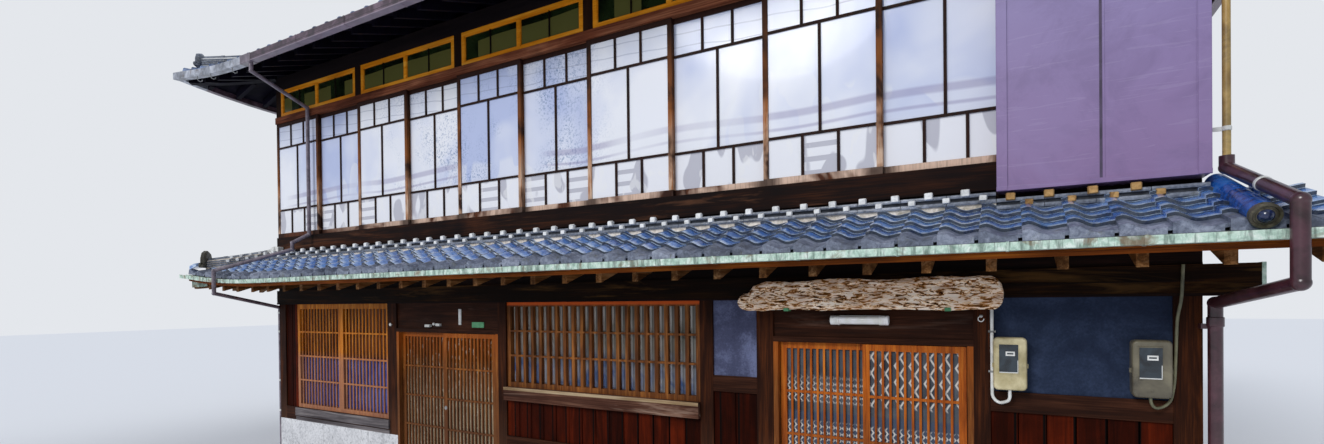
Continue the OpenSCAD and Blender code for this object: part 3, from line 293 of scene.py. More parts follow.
def streetGlass():
    # Old panes: a painted reflection of a hazy white sky, frosted patches, and blurred painted reflections of
    # the other side of the street; the transoms above show a dark green room with pale lower panels
    p = Paint("streetGlass")
    bayPlace = p.maths("FLOOR", (p.x - sashLook["start"]) / sashLook["bay"])
    third = p.maths("FLOOR", (p.x - sashLook["start"]) / sashLook["bay"] * 3)
    own = p.chance(bayPlace)
    ownThird = p.chance(third)
    reflectedSky = p.noise(1.1, 3, 0.5, 0.4, (1, 1, 0.8), (3, 8, 2))
    colour = p.ramp(reflectedSky * 0.75 + own * 0.25, [(0.36, "bcc6e6"), (0.5, "dadff0"), (0.64, "f2f3f8")])
    # A painted reflection of a light roof line, and curtain shapes
    ridge = p.noise(0.9, 2, 0.4, 0.0, (1, 1, 0.01), (5, 5, 5)) * 1.6 + p.z
    sheet = ridge.below(4.65, 0.05) * p.noise(2.1, 1, 0.3, 2.0, (1, 1, 0.6), (8, 0, 3)).above(0.5, 0.03)
    colour = p.blend(sheet * 0.45, colour, "eff0f4")
    # Frosted freckles on the panes in the middle
    frostZone = p.x.above(-2.6, 0.8) * p.x.below(0.4, 0.8) * p.z.above(3.5, 0.02)
    freckle = p.noise(46, 3, 0.75, 0.3).above(0.56, 0.08)
    freckle = freckle * p.noise(1.7, 2, 0.5, 0.3, shift=(1, 1, 7)).above(0.5, 0.2)
    colour = p.blend(freckle * frostZone * 0.75, colour, "5f7fa8")
    # Beams and a roof edge seen upside down in the glass
    band = p.z + p.noise(0.5, 1, 0.3, 0.0, (1, 1, 0.01)) * 0.24
    rail = band.above(3.76, 0.02) * band.below(3.82, 0.02) + band.above(3.66, 0.015) * band.below(3.685,
                                                                                                  0.015)
    rail = rail * p.noise(0.8, 1, 0.3, 0, (1, 1, 0.01), (2, 2, 2)).above(0.5, 0.15)
    colour = p.blend(rail * 0.45, colour, "8a7fa8")
    low = p.z.below(sashLook["lowPaneTop"], 0.004)
    blocks = p.noise(5.2, 1, 0.2, 0.0, (1.0, 1, 0.5), (6, 1, 1)).above(0.6, 0.03)
    slats = p.maths("FRACT", p.z * 9.0 + ownThird * 3).above(0.62, 0.05)
    dusk = p.maths("MAXIMUM", blocks, slats * ownThird.above(0.72, 0.05))
    colour = p.blend(low, colour, "f0f0f4")
    colour = p.blend(low * dusk * 0.42, colour, "5a5474")
    flecks = p.noise(7, 2, 0.5, 0.6, (1, 1, 0.5), (4, 2, 8)).above(0.6, 0.04)
    colour = p.blend(low * flecks * 0.5, colour, "f4f3f2")
    high = p.z.above(sashLook["highPaneFoot"], 0.004)
    wires = p.maths("FRACT", (p.z + p.x * 0.06 + reflectedSky * 0.12) * 8.5).above(0.9, 0.02)
    colour = p.blend(high * wires * 0.3, colour, "6a7290")
    # Transom lights
    room = p.ramp(p.noise(3, 3), [(0.4, "0c1208"), (0.6, "1e2a14")])
    panelTop = sashLook["panelTop"] + p.noise(1.1, 1, 0.2, 0, (1, 1, 0.01)) * 0.08
    pale = (p.z - panelTop).below(0.0, 0.006) * ownThird.above(0.25, 0.02)
    room = p.blend(pale * 0.7, room, "6d6a38")
    colour = p.blend(p.z.above(sashLook["transomFoot"], 0.004), colour, room)
    return p.finish(colour, 0.1 + reflectedSky * 0.1, p.noise(6, 2), 0.0006, 0.25,
                    fixed={"Specular IOR Level": 0.3, "Coat Weight": 0.15, "Coat Roughness": 0.03})


def paneGlass(name, stops, scale, rough=0.08):
    # A milky sheet with soft clouds
    p = Paint(name)
    colour = p.ramp(p.noise(scale, 3, 0.5, 0.8, shift=(3, 8, 2)), stops)
    return p.finish(colour, rough, p.noise(6, 2), 0.0006, 0.25,
                    fixed={"Specular IOR Level": 0.5, "Coat Weight": 0.35, "Coat Roughness": 0.03})


def stripes(p, across, pitch, share):
    # 1 along lines centred on whole pitches
    return p.maths("ABSOLUTE", p.maths("FRACT", across / pitch + 0.5) - 0.5).below(share / 2, 0.05)


def groundGlass():
    # Left window: violet reflections low, dark amber high, with painted shadows of the bars. Middle window:
    # frosted with the bars' shadows, bluer at the foot
    p = Paint("groundGlass")
    cloud = p.noise(2.2, 3, 0.5, 0.6, (1, 1, 1.5))
    low = p.z.below(1.42, 0.03)
    leftHigh = p.ramp(cloud, [(0.35, "3a1c0c"), (0.65, "7a4420")])
    leftLow = p.ramp(cloud, [(0.35, "3c4898"), (0.65, "6a74bc")])
    left = p.blend(low, leftHigh, leftLow)
    inHalf = p.maths("MODULO", p.x - paneLook["leftStart"], paneLook["half"])
    # Painted shadows of the bars on the left window's panes
    leftBarShadow = stripes(p, inHalf - paneLook["firstBar"], paneLook["leftPitch"], 0.34)
    left = p.blend(leftBarShadow * 0.7, left, "2c1a14")
    frost = p.ramp(cloud, [(0.35, "c0bcae"), (0.65, "f6f3ea")])
    bluish = p.ramp(p.noise(3.1, 3, 0.5, 1.0), [(0.4, "6090e0"), (0.6, "f4f8ff")])
    middle = p.blend(p.z.below(1.56, 0.25), frost, bluish)
    fromBar = p.x - paneLook["middleBar"] - paneLook["shadowShift"]
    shadow = stripes(p, fromBar, paneLook["middlePitch"], paneLook["shadow"])
    middle = p.blend(shadow * 0.78, middle, "1e221a")
    colour = p.blend(p.x.above(-1.6, 0.05), left, middle)
    return p.finish(colour, 0.3, cloud, 0.001, 0.2, fixed={"Specular IOR Level": 0.2})


def leftDoorPane():
    p = Paint("leftDoorPane")
    cloud = p.noise(3, 3, 0.5, 1.0)
    # The lower half is paler: a painted highlight on the glass
    colour = p.blend(p.z.below(1.25, 0.5), "8a5424", "bca888")
    colour = p.blend(cloud.above(0.55, 0.2) * 0.35, colour, "4a2c1a")
    colour = p.blend(p.noise(40, 2, 0.6, 0.2, (1, 1, 0.4)).above(0.6, 0.05) * 0.4, colour, "efe2cc")
    return p.finish(colour, 0.3, cloud, 0.001, 0.2, fixed={"Specular IOR Level": 0.2})


def entrancePane():
    # A lace curtain with chains of diamonds, then a plain blue-grey band, behind the lower part a finer mesh
    p = Paint("entrancePane")
    cloud = p.noise(3, 3, 0.5, 1.0)
    colour = p.blend(cloud.above(0.5, 0.3), "3a4048", "5d646c")
    colour = p.blend(p.z.below(1.22, 0.02), colour, "485468")

    def chain(pitch, rise, thick):
        zig = p.maths("ABSOLUTE", p.maths("FRACT", p.z / rise) - 0.5) * 0.72
        across = p.maths("FRACT", p.x / pitch)
        a = p.maths("ABSOLUTE", across - (0.5 - zig)).below(thick, 0.03)
        b = p.maths("ABSOLUTE", across - (0.5 + zig)).below(thick, 0.03)
        return p.maths("MAXIMUM", a, b)
    upper = p.z.above(1.30, 0.02)
    lowBand = p.z.below(1.14, 0.02)
    rightLeaf = p.x.above(3.063, 0.004)
    lace = chain(0.105, 0.125, 0.07) * upper * rightLeaf
    mesh = chain(0.052, 0.05, 0.13) * p.maths("MAXIMUM", lowBand,
                                              upper * (1 - rightLeaf) * p.z.below(1.48, 0.1))
    colour = p.blend(p.maths("MAXIMUM", lace, mesh) * 0.9, colour, "dcdcd6")
    return p.finish(colour, 0.3, cloud, 0.001, 0.2, fixed={"Specular IOR Level": 0.2})


def glazedTile(name, tones, rough, speck, worn, hueSlide=None, moss=0.0, coat=0.15, dust="6f7a8e",
               courses=False):
    # Fired tile: mottled body, a clear glaze, dull dusty patches, and for courses a painted highlight and
    # painted shade
    p = Paint(name)
    mottle = p.noise(34, 5, 0.62, 0.4)
    broad = p.noise(4.4, 3, 0.6, 0.3, shift=(5, 5, 5))
    each = p.node("ShaderNodeTexWhiteNoise", {"noise_dimensions": "2D"},
                  {"Vector": p.vectors("FLOOR", p.join(p.x / 0.2263, p.y / 0.19, 0.0))})
    colour = p.ramp(mottle * 0.5 + broad * 0.35 + each * 0.15, list(zip((0.36, 0.5, 0.66), tones)))
    if hueSlide:
        colour = p.blend(p.x.below(hueSlide[1], hueSlide[2]) * hueSlide[3], colour, hueSlide[0])
    colour = p.blend(p.noise(150, 2, 0.7).above(0.62, 0.08) * 0.35, colour, speck)
    if moss:
        spots = p.noise(11, 5, 0.75, 0.6, shift=(1, 2, 8)).above(0.62, 0.1)
        colour = p.blend(spots * moss, colour, "5c5a34")
    dull = p.noise(7, 4, 0.7, 0.5, shift=(2, 6, 1)).above(0.56, 0.18)
    colour = p.blend(dull * worn, colour, dust)
    if courses:
        # Each course gets a painted highlight along its front lip and the top just behind it, and painted
        # shade under the next lip
        fromEave = p.maths("MINIMUM", p.x - tileLook["cornerX"], p.y - tileLook["cornerY"])
        course = p.maths("FRACT", fromEave / tileLook["exposure"] + 0.03)
        streak = p.noise(20, 3, 0.6, 0.4, (1, 0.4, 1), (4, 4, 1)).above(0.44, 0.2)
        colour = p.blend(course.below(0.3, 0.3) * streak * 0.9, colour, "d4e6fa")
        colour = p.blend(course.above(0.8, 0.25) * 0.75, colour, "0a1530")
        # The lip's front faces are painted near black as shade
        lip = p.node("ShaderNodeAttribute", {"attribute_name": "lip"}, None, out=2)
        colour = p.blend(lip * 0.92, colour, "060b18")
    return p.finish(colour, rough + dull * 0.25, mottle, 0.0012, 0.4,
                    fixed={"Coat Weight": coat, "Coat Roughness": 0.09, "Specular IOR Level": 0.4})


def mineral(name, stops, scale, depth=0.0015, spots=None, rain=None):
    # Plaster, mortar and concrete: grains, broad stains and rain streaks
    p = Paint(name)
    grit = p.noise(scale, 6, 0.7, 0.3)
    broad = p.noise(1.9, 4, 0.6, 0.5, shift=(6, 3, 9))
    colour = p.ramp(grit * 0.55 + broad * 0.45, stops)
    if rain:
        streak = p.noise(13, 4, 0.65, 0.4, (1, 1, 0.09), (2, 2, 7)).above(rain[1], 0.14)
        colour = p.blend(streak * rain[2], colour, rain[0])
    if spots:
        spot = p.noise(spots[1], 4, 0.7, 0.9, shift=(8, 1, 3)).above(spots[2], 0.08)
        colour = p.blend(spot * spots[3], colour, spots[0])
    return p.finish(colour, 0.77 + grit * 0.16, grit, depth, 0.6)


def verdigris(name):
    # Old copper: pale green crust with black rain streaks and bare brown patches
    p = Paint(name)
    crust = p.noise(18, 6, 0.7, 0.5)
    streak = p.noise(24, 4, 0.7, 0.2, (1, 1, 0.14), (3, 1, 1)).above(0.54, 0.12)
    brown = p.noise(5, 4, 0.7, 0.8, shift=(7, 7, 2)).above(0.6, 0.1)
    colour = p.ramp(crust, [(0.35, "9ab6a6"), (0.5, "c4dccc"), (0.64, "e6f0e6")])
    colour = p.blend(streak * 0.62, colour, "31453c")
    colour = p.blend(brown * 0.7, colour, "7a5a36")
    return p.finish(colour, 0.55 + crust * 0.3, crust, 0.0012, 0.4, fixed={"Metallic": 0.15})


def painted(name, stops, rough, scratch=None, sheen=0.3, scale=7, dust=None):
    # Sheet metal and plastic: soft cloudy colour, dust (on the pale vent pipe partly painted shade) and fine
    # scratches
    p = Paint(name)
    cloud = p.noise(scale, 4, 0.6, 0.4)
    colour = p.ramp(cloud, stops)
    fine = p.noise(90, 3, 0.7, 0.2, (1, 1, 0.15))
    if scratch:
        colour = p.blend(p.scratches() * scratch[1], colour, scratch[0])
    if dust:
        colour = p.blend(p.grime() * dust[1], colour, dust[0])
    return p.finish(colour, rough + fine * 0.12, fine, 0.0004, 0.35,
                    fixed={"Coat Weight": sheen, "Coat Roughness": 0.15})


def boardWood(name, tones, boardWidth, stain="1c0d08", axis="X"):
    # Upright boards: each has its own shade, with dark joints
    p = Paint(name)
    place = ((p.x if axis == "X" else p.y) - leftX) / boardWidth
    each = p.chance(p.maths("FLOOR", place))
    rings = p.noise(13, 6, 0.6, 0.7, grainWays["Z"])
    fibre = p.noise(110, 3, 0.6, 0.0, (1, 1, 0.03))
    colour = p.ramp(rings * 0.5 + fibre * 0.2 + each * 0.3, list(zip((0.34, 0.5, 0.68), tones)))
    colour = p.blend(p.noise(2.1, 4, 0.65, 0.5, (1, 1, 0.5)).above(0.54, 0.2) * 0.6, colour, stain)
    offJoint = 0.5 - p.maths("ABSOLUTE", p.maths("FRACT", place) - 0.5)
    colour = p.blend(offJoint.below(0.008 / boardWidth, 0.02), colour, "0c0605")
    return p.finish(colour, 0.58 + fibre * 0.22, rings + fibre * 0.4, 0.0015, 0.5,
                    fixed={"Specular IOR Level": 0.05})


def driftwood():
    # Bleached wood with brown pits that run along the grain
    p = Paint("driftwood")
    rings = p.noise(26, 7, 0.75, 1.2, (0.25, 1, 1))
    pits = p.noise(62, 4, 0.66, 0.9, (0.24, 1, 1), (2, 2, 6))
    gold = p.noise(3.5, 4, 0.7, 0.6, (0.6, 1, 1), (6, 1, 1)).above(0.5, 0.2)
    colour = p.ramp(pits * 0.75 + rings * 0.25, [(0.43, "1e0c04"), (0.47, "9a5a26"), (0.5, "ffdcaa"),
                                                 (0.53, "fff0de")])
    colour = p.blend(gold * 0.4, colour, "c07c38")
    return p.finish(colour, 0.85, rings - pits, 0.006, 0.9, fixed={"Specular IOR Level": 0.05})


def slatePlaster():
    # The panel left of the entrance is paler than the wide one on its right
    p = Paint("slatePlaster")
    grit = p.noise(60, 6, 0.7, 0.3)
    broad = p.noise(2.6, 4, 0.6, 0.6, shift=(6, 3, 9))
    value = grit * 0.3 + broad * 0.7
    wide = p.ramp(value, [(0.38, "182136"), (0.5, "232e44"), (0.64, "34405a")])
    narrow = p.ramp(value, [(0.38, "3a3d55"), (0.5, "484c66"), (0.64, "6d7494")])
    colour = p.blend(p.x.above(2.8, 0.1), narrow, wide)
    return p.finish(colour, 0.7 + grit * 0.16, grit, 0.0008, 0.5, fixed={"Specular IOR Level": 0.15})


def meterPaint():
    # Yellowed plastic; the case at the right has gone olive brown
    p = Paint("meterCase")
    cloud = p.noise(5, 4, 0.6, 0.4)
    pale = p.ramp(cloud, [(0.36, "a89a6c"), (0.64, "e6dab0")])
    dull = p.ramp(cloud, [(0.36, "4a4438"), (0.64, "7d7660")])
    colour = p.blend(p.x.above(4.4, 0.1), pale, dull)
    colour = p.blend(p.grime() * 0.45, colour, "5f5a48")
    return p.finish(colour, 0.42, cloud, 0.0004, 0.35, fixed={"Coat Weight": 0.2, "Coat Roughness": 0.15})


def shutterSheet():
    # Painted sheet that fades from blue violet at the top to plum at the foot
    p = Paint("shutterPaint")
    cloud = p.noise(1.1, 4, 0.6, 0.4)
    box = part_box("shutter_box")
    high = (p.z - box[0].z) / (box[1].z - box[0].z)
    colour = p.blend(high.above(0.5, 1.0), "8a6e98", "8880b0")
    colour = p.blend(cloud.above(0.55, 0.3) * 0.35, colour, "9a8cb8")
    colour = p.blend(p.grime() * 0.35, colour, "6a5880")
    colour = p.blend(p.scratches() * 0.12, colour, "b4a8c6")
    return p.finish(colour, 0.42, cloud, 0.0004, 0.35, fixed={"Coat Weight": 0.1, "Coat Roughness": 0.15})


def lampGlow():
    p = Paint("lampWhite")
    cloud = p.noise(12, 3)
    colour = p.ramp(cloud, [(0.4, "f0f0ea"), (0.6, "ffffff")])
    return p.finish(colour, 0.3, cloud, 0.0004, 0.2, fixed={"Coat Weight": 0.4})


tileLook = {"cornerX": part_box("lower_roof_front")[0].x, "cornerY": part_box("lower_roof_front")[0].y,
            "exposure": 0.145}
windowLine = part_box("front_sashes")
sashLook = {"start": leftX + 0.06, "bay": (rightX - leftX - 0.12) / 11, "lowRailTop": windowLine[0].z + 0.06,
            "topRailFoot": windowLine[1].z - 0.048, "lowPaneTop": 3.475, "highPaneFoot": 4.357,
            "transomFoot": 4.79, "panelTop": 5.005}
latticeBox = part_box("left_window_lattice")
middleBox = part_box("middle_window_lattice")


def barPitch(width, bars):
    # Distance between the bars that fill a lattice between its rims
    gaps = width - 2 * bars["rim"] - bars["count"] * bars["width"]
    return gaps / (bars["count"] + 1) + bars["width"]


leftBars = {"rim": 0.052, "count": 12, "width": 0.017}
middleBars = {"rim": 0.05, "count": 20, "width": 0.036}
halfLattice = (latticeBox[1].x - latticeBox[0].x) / 2
leftPitch = barPitch(halfLattice, leftBars)
middlePitch = barPitch(middleBox[1].x - middleBox[0].x, middleBars)
paneLook = {"leftStart": latticeBox[0].x, "half": halfLattice, "shadow": 0.3, "shadowShift": 0.045,
            "leftPitch": leftPitch, "firstBar": leftBars["rim"] + leftPitch - leftBars["width"] / 2,
            "middlePitch": middlePitch,
            "middleBar": middleBox[0].x + middleBars["rim"] + middlePitch - middleBars["width"] / 2}
sashWood = sashTimber()
skyGlass = streetGlass()
backPane = paneGlass("backPane", [(0.36, "59626e"), (0.64, "9aa5b2")], 1.2)
windowGlass = groundGlass()
leftDoorGlass = leftDoorPane()
entranceGlass = entrancePane()
blueTile = glazedTile("blueTile", ("0c2c6a", "3070c8", "7ab2f4"), 0.16, "060c1c", 0.22,
                      ("6c92d0", 1.0, 9.0, 0.6), coat=0.7, dust="7896cc", courses=True)
eaveFace = glazedTile("eaveFace", ("3f4656", "6c7488", "a4abbe"), 0.5, "1f1e26", 0.3, moss=0.5, dust="8a90a0")
greyTile = glazedTile("greyTile", ("2c3a5a", "5a7098", "92a8d0"), 0.42, "2c2f3a", 0.35, dust="8f9ab4")
ridgeTile = glazedTile("ridgeTile", ("3a3f4a", "6a707c", "9ea4b0"), 0.5, "1f2126", 0.4, moss=0.4,
                       dust="8a8f98")
rollGlaze = glazedTile("rollGlaze", ("082358", "1653a6", "3478c8"), 0.24, "0a1838", 0.08, coat=0.25)
bossGlaze = glazedTile("bossGlaze", ("0a0f1e", "18244a", "33456f"), 0.12, "050a18", 0.08, coat=0.7)
discTile = glazedTile("discTile", ("242118", "4c4738", "77705c"), 0.4, "1b1411", 0.3, moss=0.6, dust="5a564a")
whitePlaster = mineral("whitePlaster", [(0.4, "cccbc6"), (0.56, "faf9f5")], 24,
                       spots=("8a8478", 9, 0.64, 0.45))
tanPlaster = mineral("tanPlaster", [(0.4, "9a7440"), (0.56, "d0a468")], 24, spots=("6d4a26", 9, 0.58, 0.6))
creamMortar = mineral("creamMortar", [(0.4, "b4a894"), (0.56, "f4e8da")], 20, spots=("5a5a4a", 12, 0.6, 0.5))
concrete = mineral("concrete", [(0.36, "b4b5b8"), (0.5, "dcdcde"), (0.64, "f0f0f1")], 30, 0.002,
                   spots=("7f8183", 26, 0.6, 0.5), rain=("8a8b8b", 0.62, 0.35))
concreteFloor = mineral("concreteFloor", [(0.38, "8a8a86"), (0.62, "b2b2ac")], 20)
darkMortar = mineral("darkMortar", [(0.4, "24262c"), (0.58, "464a52")], 20)
clayPlaster = mineral("clayPlaster", [(0.36, "a1937a"), (0.5, "c2b598"), (0.64, "dcd2ba")], 36, 0.0012,
                      spots=("8a7c64", 3.2, 0.6, 0.4), rain=("8f8068", 0.6, 0.45))
copperGreen = verdigris("copperGreen")
shutterPaint = shutterSheet()
seamDark = painted("seamDark", [(0.36, "2c2036"), (0.64, "4a3a58")], 0.5)
pipeBrown = painted("pipeBrown", [(0.36, "2c1418"), (0.64, "502c36")], 0.24, None, 0.4, 9, ("6d5050", 0.2))
pipeLilac = painted("pipeLilac", [(0.36, "5f545e"), (0.64, "8d808a")], 0.3, None, 0.3, 9, ("4a4048", 0.35))
# Heavy dark patches on the gold pipe: partly dust and partly its shaded side painted in as colour
pipePale = painted("pipePale", [(0.36, "9a7432"), (0.64, "d8b870")], 0.4, None, 0.2, 3, ("3a2c1c", 0.6))
cableOlive = painted("cableOlive", [(0.36, "4a4a36"), (0.64, "7d7a5c")], 0.5)
whitePlastic = painted("whitePlastic", [(0.36, "cfd0cc"), (0.64, "eeeeea")], 0.35, None, 0.3, 9,
                       ("9a988c", 0.3))
greenPlastic = painted("greenPlastic", [(0.36, "2f7a4a"), (0.64, "55a06c")], 0.4)
meterCase = meterPaint()
meterGlass = paneGlass("meterGlass", [(0.36, "0b0f12"), (0.64, "2c3840")], 9, 0.05)
steelGrey = painted("steelGrey", [(0.36, "6d6d6d"), (0.64, "a2a2a0")], 0.35, ("4a4a4a", 0.4))
signWood = driftwood()
bluePlaster = slatePlaster()
lampWhite = lampGlow()
sideBoards = boardWood("sideBoards", ("3b2b22", "5d4535", "84684f"), 0.185, axis="Y")
backBoards = boardWood("backBoards", ("3b2b22", "5d4535", "84684f"), 0.185)
panelBoards = boardWood("panelBoards", ("220500", "3e0f02", "661f06"), 0.172, "100300")


def gutterPaint():
    # An old grey length at the left corner, then brown sheet with a seam and a paler lip
    p = Paint("gutterPaint")
    cloud = p.noise(6, 4, 0.65, 0.5)
    brown = p.ramp(cloud, [(0.36, "2e1e28"), (0.5, "4c3844"), (0.66, "755e6c")])
    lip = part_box("upper_gutter")
    seam = p.z.above(lip[0].z + 0.03, 0.004) * p.z.below(lip[0].z + 0.037, 0.004)
    brown = p.blend(seam * 0.9, brown, "1a0f16")
    brown = p.blend(p.z.below(lip[0].z + 0.012, 0.004) * 0.5, brown, "a697a6")
    grey = p.ramp(cloud, [(0.36, "6d7078"), (0.5, "9a9ea8"), (0.66, "c6cad4")])
    rust = p.noise(9, 4, 0.7, 0.7, shift=(2, 9, 2)).above(0.6, 0.1)
    grey = p.blend(rust * 0.5, grey, "6a5444")
    old = p.x.below(leftX + 0.865, 0.004) * p.y.below(frontY - 0.5, 0.01)
    colour = p.blend(old, brown, grey)
    return p.finish(colour, 0.3 + cloud * 0.25, cloud, 0.0008, 0.3, fixed={"Coat Weight": 0.2})


upperGutterPaint = gutterPaint()
print("materials painted:", len(bpy.data.materials))

cadFinish = {
    "foundation": concrete, "ground_floor": concreteFloor, "upper_floor": floorWood, "ground_posts": postWood,
    "ground_sills": sillDark, "lintel_beam": beamWood, "front_girt": girtWood, "upper_sill": upperSillWood,
    "upper_posts": upperPostWood, "upper_head": headWood, "wall_plate": plateWood,
    "left_window_lattice": latticeWood, "middle_window_lattice": middleLatticeWood,
    "ground_window_glass": windowGlass, "window_sill_board": sillBoardWood, "wainscot_boards": panelBoards,
    "front_plaster": bluePlaster, "door_heads": sillDark, "door_thresholds": thresholdWood,
    "door_jambs": doorWoodLeft, "left_door_left_leaf": doorWoodLeft, "left_door_right_leaf": doorWoodLeft,
    "entrance_left_leaf": doorWoodRight, "entrance_right_leaf": doorWoodRight,
    "left_door_left_glass": leftDoorGlass, "left_door_right_glass": leftDoorGlass,
    "entrance_left_glass": entranceGlass, "entrance_right_glass": entranceGlass,
    "front_sashes": sashWood, "upper_front_glass": skyGlass, "transom_frames": honeyWood,
    "shutter_box": shutterPaint, "upper_end_panel": clayPlaster, "left_wall": clayPlaster,
    "right_wall": clayPlaster, "back_wall": clayPlaster, "back_windows": upperPostWood,
    "back_glass": backPane, "lower_eave_boards": eaveWood, "lower_rafters": rafterWood,
    "lower_gutter": copperGreen, "upper_rafters": soffitWood, "upper_gutter": upperGutterPaint,
    "left_downpipe": pipeLilac, "right_downpipe": pipeBrown, "vent_pipe": pipePale,
}
for node, material in cadFinish.items():
    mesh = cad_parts[node].data
    mesh.materials.clear()
    mesh.materials.append(material)


# Meshes

creaseAngle = 0.7


def meshOf(name, verts, faces, edges=()):
    mesh = bpy.data.meshes.new(name)
    mesh.from_pydata([tuple(v) for v in verts], edges, faces)
    return mesh


def cleaned(mesh, near):
    # Welds the points that lie nearer than that and turns the faces outwards
    solid = bmesh.new()
    solid.from_mesh(mesh)
    bmesh.ops.remove_doubles(solid, verts=solid.verts, dist=near)
    bmesh.ops.recalc_face_normals(solid, faces=solid.faces)
    solid.to_mesh(mesh)
    solid.free()
    return mesh


def settle(name, mesh, material, slot, body="root", replaces=(), smooth=False, bevel=0.0):
    # A finished mesh becomes an object in the frame's own place, riding on a body
    mesh.materials.clear()
    mesh.materials.append(material)
    cleaned(mesh, 1e-5)
    for face in mesh.polygons:
        face.use_smooth = smooth
    if smooth:
        mesh.set_sharp_from_angle(angle=creaseAngle)
    piece = bpy.data.objects.new(name, mesh)
    scene.collection.objects.link(piece)
    if bevel:
        edges = piece.modifiers.new("bevel", "BEVEL")
        edges.width = bevel
        edges.segments = 2
        edges.limit_method = "ANGLE"
    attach(piece, body)
    if replaces:
        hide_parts(*replaces)
    return piece


class Shape:
    # Collects solids into one mesh
    def __init__(self):
        self.verts = []
        self.faces = []

    def add(self, verts, faces):
        start = len(self.verts)
        self.verts += [Vector(v) for v in verts]
        self.faces += [[start + i for i in face] for face in faces]
        return self

    def box(self, low, high):
        corners = [(x, y, z) for z in (low[2], high[2]) for y in (low[1], high[1]) for x in (low[0], high[0])]
        return self.add(corners, [(0, 2, 3, 1), (4, 5, 7, 6), (0, 1, 5, 4), (2, 6, 7, 3), (0, 4, 6, 2),
                                  (1, 3, 7, 5)])

    def loft(self, rings):
        # A closed solid through rings of equal length, both ends capped
        count = len(rings[0])
        faces = []
        for k in range(len(rings) - 1):
            for i in range(count):
                j = (i + 1) % count
                faces.append((k * count + i, k * count + j, (k + 1) * count + j, (k + 1) * count + i))
        faces.append(tuple(range(count - 1, -1, -1)))
        faces.append(tuple((len(rings) - 1) * count + i for i in range(count)))
        return self.add([v for ring in rings for v in ring], faces)

    def turned(self, profile, origin, axis, sides=20):
        # A turned solid: profile of (distance along the axis, radius)
        axis = Vector(axis).normalized()
        side = axis.orthogonal().normalized()
        other = axis.cross(side)
        return self.loft([circle(Vector(origin) + axis * along, side, other, max(radius, 1e-4), sides)
                          for along, radius in profile])

    def swept(self, path, section):
        # A bar along points; the section is a list of (side, up)
        rings = []
        for i, point in enumerate(path):
            ahead = path[min(i + 1, len(path) - 1)] - path[max(i - 1, 0)]
            side = Vector((ahead.y, -ahead.x, 0)).normalized()
            rings.append([point + side * s + Vector((0, 0, u)) for s, u in section])
        return self.loft(rings)

    def tube(self, path, radius, sides=12):
        # A round pipe along points, with rings square to the path
        rings = []
        last = None
        for i, point in enumerate(path):
            ahead = (Vector(path[min(i + 1, len(path) - 1)]) - Vector(path[max(i - 1, 0)])).normalized()
            last = (ahead.orthogonal() if last is None else last - ahead * last.dot(ahead)).normalized()
            rings.append(circle(Vector(point), last, ahead.cross(last), radius, sides))
        return self.loft(rings)

    def piece(self, name, material, slot, **more):
        return settle(name, meshOf(name, self.verts, self.faces), material, slot, **more)

    def hidden(self, name):
        # A shape that only serves as a part for the trees below
        return bpy.data.objects.new(name, cleaned(meshOf(name, self.verts, self.faces), 1e-6))


def circle(centre, side, other, radius, sides):
    angles = [2 * math.pi * k / sides for k in range(sides)]
    return [centre + (side * math.cos(a) + other * math.sin(a)) * radius for a in angles]


def house(x, y, z):
    # A point given from the street front's face
    return Vector((x, frontY + y, z))


def rounded(points, reach=0.05, steps=4):
    # A polyline with its corners turned into short curves
    points = [Vector(p) for p in points]
    out = [points[0]]
    for a, b, c in zip(points, points[1:], points[2:]):
        back = (a - b).normalized() * min(reach, (a - b).length / 2)
        on = (c - b).normalized() * min(reach, (c - b).length / 2)
        for k in range(steps + 1):
            t = k / steps
            out.append(b + back * (1 - t) ** 2 + on * t ** 2)
    return out + [points[-1]]


# Rules made of Geometry Nodes

class Rule(Graph):
    # A Geometry Nodes tree with named inputs; grow() runs it and keeps a plain mesh
    def __init__(self, name, inputs):
        super().__init__(bpy.data.node_groups.new(name, "GeometryNodeTree"))
        self.keys = {}
        for label, kind in inputs.items():
            socket = self.tree.interface.new_socket(name=label, in_out="INPUT",
                                                    socket_type="NodeSocket" + kind)
            self.keys[label] = socket.identifier
        self.tree.interface.new_socket(name="Geometry", in_out="OUTPUT", socket_type="NodeSocketGeometry")
        self.entry = self.tree.nodes.new("NodeGroupInput")

    def given(self, label):
        return Wire(self, self.entry.outputs[label])

    def part(self, label):
        return self.node("GeometryNodeObjectInfo", {"transform_space": "ORIGINAL"},
                         {"Object": self.given(label)}, out="Geometry")

    def shake(self, seed):
        # A random vector for each point, from -0.5 to 0.5
        drawn = self.node("FunctionNodeRandomValue", {"data_type": "FLOAT_VECTOR"}, {"Seed": seed})
        return self.vectors("SUBTRACT", drawn, (0.5, 0.5, 0.5))

    def close(self, points, part, rotation):
        # The part is set on every point and given the rule's material
        laid = self.node("GeometryNodeInstanceOnPoints", None,
                         {"Points": points, "Instance": self.part(part), "Rotation": rotation})
        real = self.node("GeometryNodeRealizeInstances", None, {"Geometry": laid})
        done = self.node("GeometryNodeSetMaterial", None,
                         {"Geometry": real, "Material": self.given("Material")})
        self.node("NodeGroupOutput", None, {0: done})
        return self

    def grow(self, name, **values):
        holder = bpy.data.objects.new(name + "Rule", bpy.data.meshes.new(name + "Rule"))
        scene.collection.objects.link(holder)
        rule = holder.modifiers.new("rule", "NODES")
        rule.node_group = self.tree
        for label, value in values.items():
            rule[self.keys[label]] = value
        view = bpy.context.evaluated_depsgraph_get()
        mesh = bpy.data.meshes.new_from_object(holder.evaluated_get(view))
        mesh.name = name
        bpy.data.objects.remove(holder)
        return mesh


